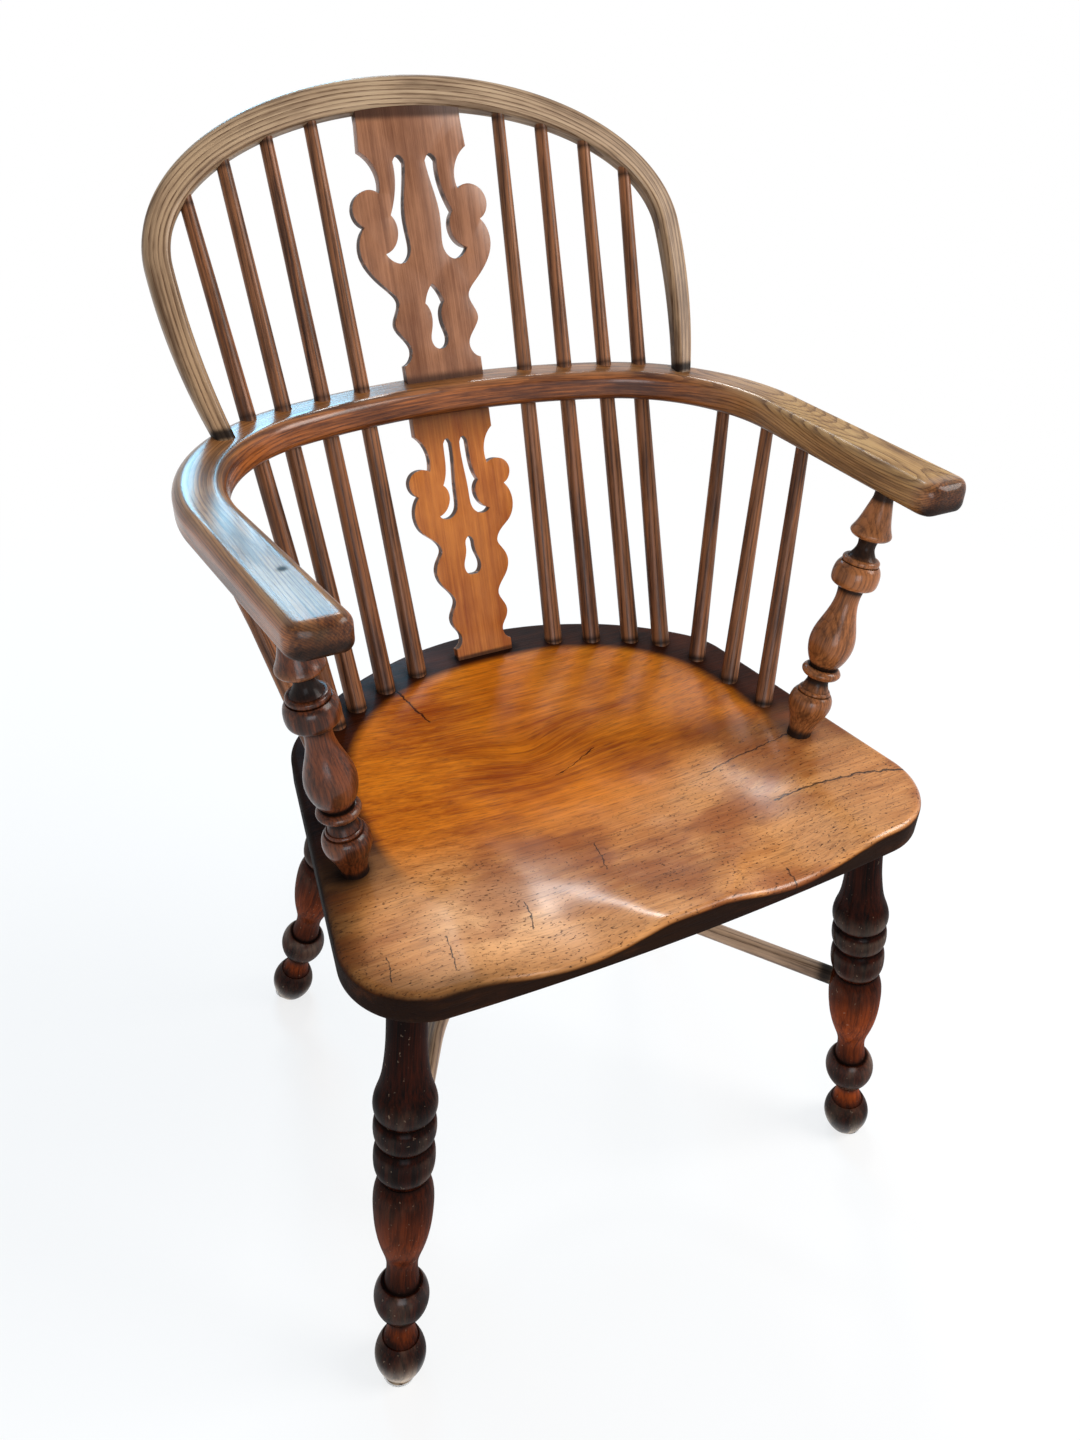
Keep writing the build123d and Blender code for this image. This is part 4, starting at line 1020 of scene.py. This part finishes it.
# %% Finishes of the sticks
def stick_wood(slot, colours, pitch, line_strength, wax, coat_rough, chipped=0.0, dull=0.0, gleam=0.06,
               handled=0.0):
    """Waxed stick: deep to bright by its figure, towards pale by its tone, then worn edges, and grime with
    painted shade.
    """
    deep, bright, pale, worn = colours
    pen = fresh_tree(paints[slot])
    grain, grime_and_shade, wear, tone = marks_of(pen)
    streaks, fibres, lines, blotches = figure(grain, pitch)
    light = streaks * 0.4 + fibres * 0.6 + blotches * 0.4
    colour = light.between(0.55, 0.86).blend(deep, bright)
    colour = (tone * (light.between(0.5, 0.85) * 0.7 + 0.3)).blend(colour, pale)
    chips = grain.noise((240, 330, 330), 2.0, 0.5, (1.3, 4.1, 0.7)).between(0.69, 0.73)
    colour = (chips * chipped).blend(colour, worn)
    rubbed = wear * blotches.between(0.40, 0.64)
    colour = (rubbed * 0.7).blend(colour, worn)
    colour = (lines * line_strength).blend(colour, deep)
    # Grime at joints and painted shade in grooves and under other parts darken the colour and thin the wax.
    grime_and_shade_mask = (grime_and_shade * (blotches * 0.8 + 0.6)).between(0.05, 0.9)
    colour = (grime_and_shade_mask * 0.94).blend(colour, GRIME_AND_SHADE)
    rough = blotches * 0.2 + grime_and_shade_mask * 0.2 + lines * 0.12 + 0.32
    coat = (1 - grime_and_shade_mask * 0.75) * (blotches * 0.7 + 0.55) * (1 - tone.between(0.6, 1.0) * dull) * wax
    coat = coat * (wear.between(0.0, 0.3) * handled + (1 - handled))
    height = fibres * 0.3 + blotches * 0.12 - lines * line_strength * 0.35 - chips * chipped
    polish(slot, pen, colour, rough, height, coat, coat_rough, gleam)


LEG_COLOURS = ((0.003, 0.0008, 0.0005), (0.028, 0.004, 0.001), (0.28, 0.046, 0.006), (0.58, 0.41, 0.27))
SUPPORT_COLOURS = ((0.020, 0.005, 0.002), (0.14, 0.032, 0.008), (0.46, 0.165, 0.050), (0.34, 0.14, 0.055))
SPINDLE_COLOURS = ((0.018, 0.005, 0.003), (0.24, 0.080, 0.027), (0.31, 0.128, 0.052), (0.40, 0.22, 0.11))
STRETCHER_COLOURS = ((0.05, 0.022, 0.012), (0.36, 0.19, 0.10), (0.46, 0.30, 0.19), (0.44, 0.30, 0.20))
HOOP_COLOURS = ((0.075, 0.030, 0.011), (0.31, 0.155, 0.066), (0.44, 0.315, 0.20), (0.42, 0.28, 0.155))
ARM_COLOURS = ((0.06, 0.014, 0.004), (0.36, 0.105, 0.022), (0.48, 0.28, 0.105), (0.46, 0.29, 0.13))

stick_wood("leg_wood", LEG_COLOURS, pitch=0.005, line_strength=0.4,
           wax=0.8, coat_rough=0.2, chipped=0.15, gleam=0.0, handled=0.85)
stick_wood("support_wood", SUPPORT_COLOURS, pitch=0.0024, line_strength=0.4,
           wax=0.55, coat_rough=0.2, chipped=0.1)
stick_wood("spindle_wood", SPINDLE_COLOURS, pitch=0.0038, line_strength=0.75,
           wax=0.4, coat_rough=0.34)
stick_wood("stretcher_wood", STRETCHER_COLOURS, pitch=0.0042, line_strength=0.7,
           wax=0.5, coat_rough=0.3)
stick_wood("hoop_ash", HOOP_COLOURS, pitch=0.0036, line_strength=0.9,
           wax=0.4, coat_rough=0.3)
stick_wood("arm_ash", ARM_COLOURS, pitch=0.0017, line_strength=0.7,
           wax=0.9, coat_rough=0.22, dull=0.75)
print("stick finishes made")

# %% [markdown]
# ### Splats
# The boards are darker under the bow and the hoop, which is painted shade, and in narrow bands just above
# the seat and the bow. Their sawn walls are darkened as painted shade too.
# Height up the board is the grain's own first number, so a band needs no more marks.


# %% Finishes of the splats
def board_wood(slot, deep, bright, joint_and_shade_bands, wax):
    """Waxed board: deep to bright by its figure, the sawn walls darker as painted shade, and the bands at
    given heights darker.
    """
    pen = fresh_tree(paints[slot])
    grain, grime_and_shade, _, _ = marks_of(pen)
    streaks, fibres, lines, blotches = figure(grain.scaled((1, 1, 1), (0, 0.012, 0.09)), 0.007)
    light = streaks * 0.35 + fibres * 0.45 + blotches * 0.6
    colour = light.between(0.45, 0.98).blend(deep, bright)
    colour = (lines * 0.22).blend(colour, deep)
    shade = grime_and_shade
    for start, end, strength in joint_and_shade_bands:
        shade = shade + grain.part(0).between(start, end) * strength
    grime_and_shade_mask = (shade * (blotches * 0.8 + 0.6)).between(0.02, 1.0)
    # Near-black for the painted shade on walls and under the bow and hoop, and for the joint bands.
    colour = (grime_and_shade_mask * 0.88).blend(colour, (0.022, 0.009, 0.006))
    rough = blotches * 0.14 + grime_and_shade_mask * 0.15 + 0.34
    coat = (1 - grime_and_shade_mask * 0.7) * (blotches * 0.8 + 0.5) * wax
    polish(slot, pen, colour, rough, fibres * 0.5 + blotches * 0.12 - lines * 0.3, coat, 0.25)


board_wood("lower_splat_wood", (0.26, 0.052, 0.003), (0.60, 0.195, 0.025),
           ((0.004, 0.0, 0.9), (0.165, 0.235, 0.7)), 0.8)
board_wood("upper_splat_wood", (0.14, 0.047, 0.019), (0.38, 0.165, 0.080),
           ((0.266, 0.257, 0.8), (0.463, 0.470, 0.85)), 0.7)
print("splat finishes made")

# %% [markdown]
# ### Seat
# Elm is wild grained and splits. The dish is rubbed to honey, the rim behind the spindles keeps its dark
# polish, the front edge is bleached and pitted, and the sides and underside are painted nearly black as
# shade, with painted shade along the top's edge that is strongest on the left. The splits are drawn as lines
# on the plank: a point's distance to a line is its distance to the nearest point of that line.

# %% Splits in the plank
SPLITS = (
    (0.8, ((130, 72), (175, 67), (209, 64), (248, 52))),
    (0.5, ((96, 130), (136, 134), (191, 134))),
    (0.8, ((-102, 350), (-97, 324), (-89, 292))),
    (0.4, ((-15, 192), (4, 198), (33, 209))),
    (0.4, ((-29, 94), (-31, 80), (-35, 62))),
    (0.35, ((-108, 58), (-109, 44), (-114, 31))),
    (0.3, ((-177, 43), (-178, 29), (-182, 11))),
    (0.3, ((-221, 41), (-225, 19))),
    (0.4, ((92, 5), (90, -11))),
)


def line_distance(place, start, end):
    """Distance from a point to a line between two others: |p - d * clamp(p . d / d . d)| from its start."""
    span = np.subtract(end, start) * MM
    offset = place.scaled((1, 1, 0), (-start[0] * MM, -start[1] * MM, 0))
    onto = {0: offset, 1: (*(span / (span @ span)), 0)}
    share = place.add("VectorMath", {"operation": "DOT_PRODUCT"}, onto, output=1)
    held = place.add("Clamp", {}, {"Value": share})
    foot = place.add("VectorMath", {"operation": "SCALE"}, {0: (*span, 0), "Scale": held})
    return place.add("VectorMath", {"operation": "DISTANCE"}, {0: offset, 1: foot}, output=1)


def split_marks(place):
    """1 inside any split and 0 away from all of them, each with its own half width."""
    open_wood = None
    for width, points in SPLITS:
        for start, end in zip(points, points[1:]):
            inside = 1 - line_distance(place, start, end).between(0.3 * width * MM, 1.7 * width * MM)
            open_wood = inside if open_wood is None else open_wood.largest(inside)
    return open_wood


# %% Finish of the seat
HONEY = ((0.27, 0.043, 0.0015), (0.74, 0.210, 0.010))
RIM = ((0.006, 0.002, 0.001), (0.055, 0.010, 0.0015))
BLEACHED = ((0.36, 0.11, 0.016), (0.70, 0.31, 0.10))
DULL_CORNER = (-0.17, -0.10)
SCRUBBED, RUDDY, PORES = (0.88, 0.50, 0.25), (0.25, 0.06, 0.016), (0.05, 0.015, 0.007)

pen = fresh_tree(paints["seat_elm"])
grain, grime_and_shade, wear, tone = marks_of(pen)
streaks, fibres, lines, blotches = figure(grain.scaled((1, 1, 1), (0, 0.06, 0.16)), 0.012)
clouds = grain.noise((9, 16, 16), 3.0, 0.55, (5.2, 0.4, 2.9))
light = streaks * 0.3 + fibres * 0.45 + blotches * 0.4 + clouds * 0.5
honey = light.between(0.58, 1.04).blend(*HONEY)
rim = light.between(0.6, 1.05).blend(*RIM)
colour = tone.blend(rim, honey)
bleached = light.between(0.55, 1.05).blend(*BLEACHED)
front = (wear * (clouds * 1.3 + 0.4)).between(0.08, 0.95)
colour = front.blend(colour, bleached)
colour = (wear.between(0.95, 1.5) * (clouds * 0.6 + 0.5)).blend(colour, SCRUBBED)
ruddy = wear.between(0.0, 0.35) * clouds.between(0.55, 0.40) * 0.55
colour = ruddy.blend(colour, RUDDY)
pits = grain.noise((330, 640, 640), 2.0).between(0.62, 0.69) * (wear.between(0.1, 0.7) * 0.8 + 0.08)
dashes = grain.noise((55, 640, 640), 3.0).between(0.52, 0.68)
colour = (pits * 0.8 + dashes * 0.32 + lines * 0.14).blend(colour, PORES)
ragged = grain.add("TexNoise", {}, {"Vector": grain, "Scale": 160.0, "Detail": 3.0}, output=1)
splits = split_marks(ragged.scaled((0.007, 0.007, 0), grain.scaled((1, 1, 1), (-0.0035, -0.0035, 0))))
splits = splits * grain.part(2).between(-0.034, -0.03) * (fibres.between(0.3, 0.5) * 0.6 + 0.4)
colour = (splits * 0.85).blend(colour, GRIME_AND_SHADE)
# Grime at the joints and painted shade on the sides, underside and left edge take the seat nearly to black.
grime_and_shade_mask = (grime_and_shade * (blotches * 0.7 + 0.6)).between(0.1, 0.95)
colour = (grime_and_shade_mask * 0.985).blend(colour, GRIME_AND_SHADE)
rough = blotches * 0.2 + grime_and_shade_mask * 0.15 + pits * 0.2 + splits * 0.3 - wear.between(0, 1) * 0.2 + 0.42
coat = (1 - grime_and_shade_mask) * (1 - pits * 0.6) * (clouds * 0.9 + 0.5) * (wear.between(0, 1) * 0.9 + 0.12)
coat = coat * (grain.part(0).between(*DULL_CORNER) * 0.8 + 0.2)
height = fibres * 0.2 + blotches * 0.3 + clouds * 0.6 - pits * 0.7 - splits * 2.5 - dashes * 0.2
polish("seat_elm", pen, colour, rough, height, coat, 0.24, gleam=0.03)
print("nodes in the seat's finish:", len(paints["seat_elm"].node_tree.nodes))
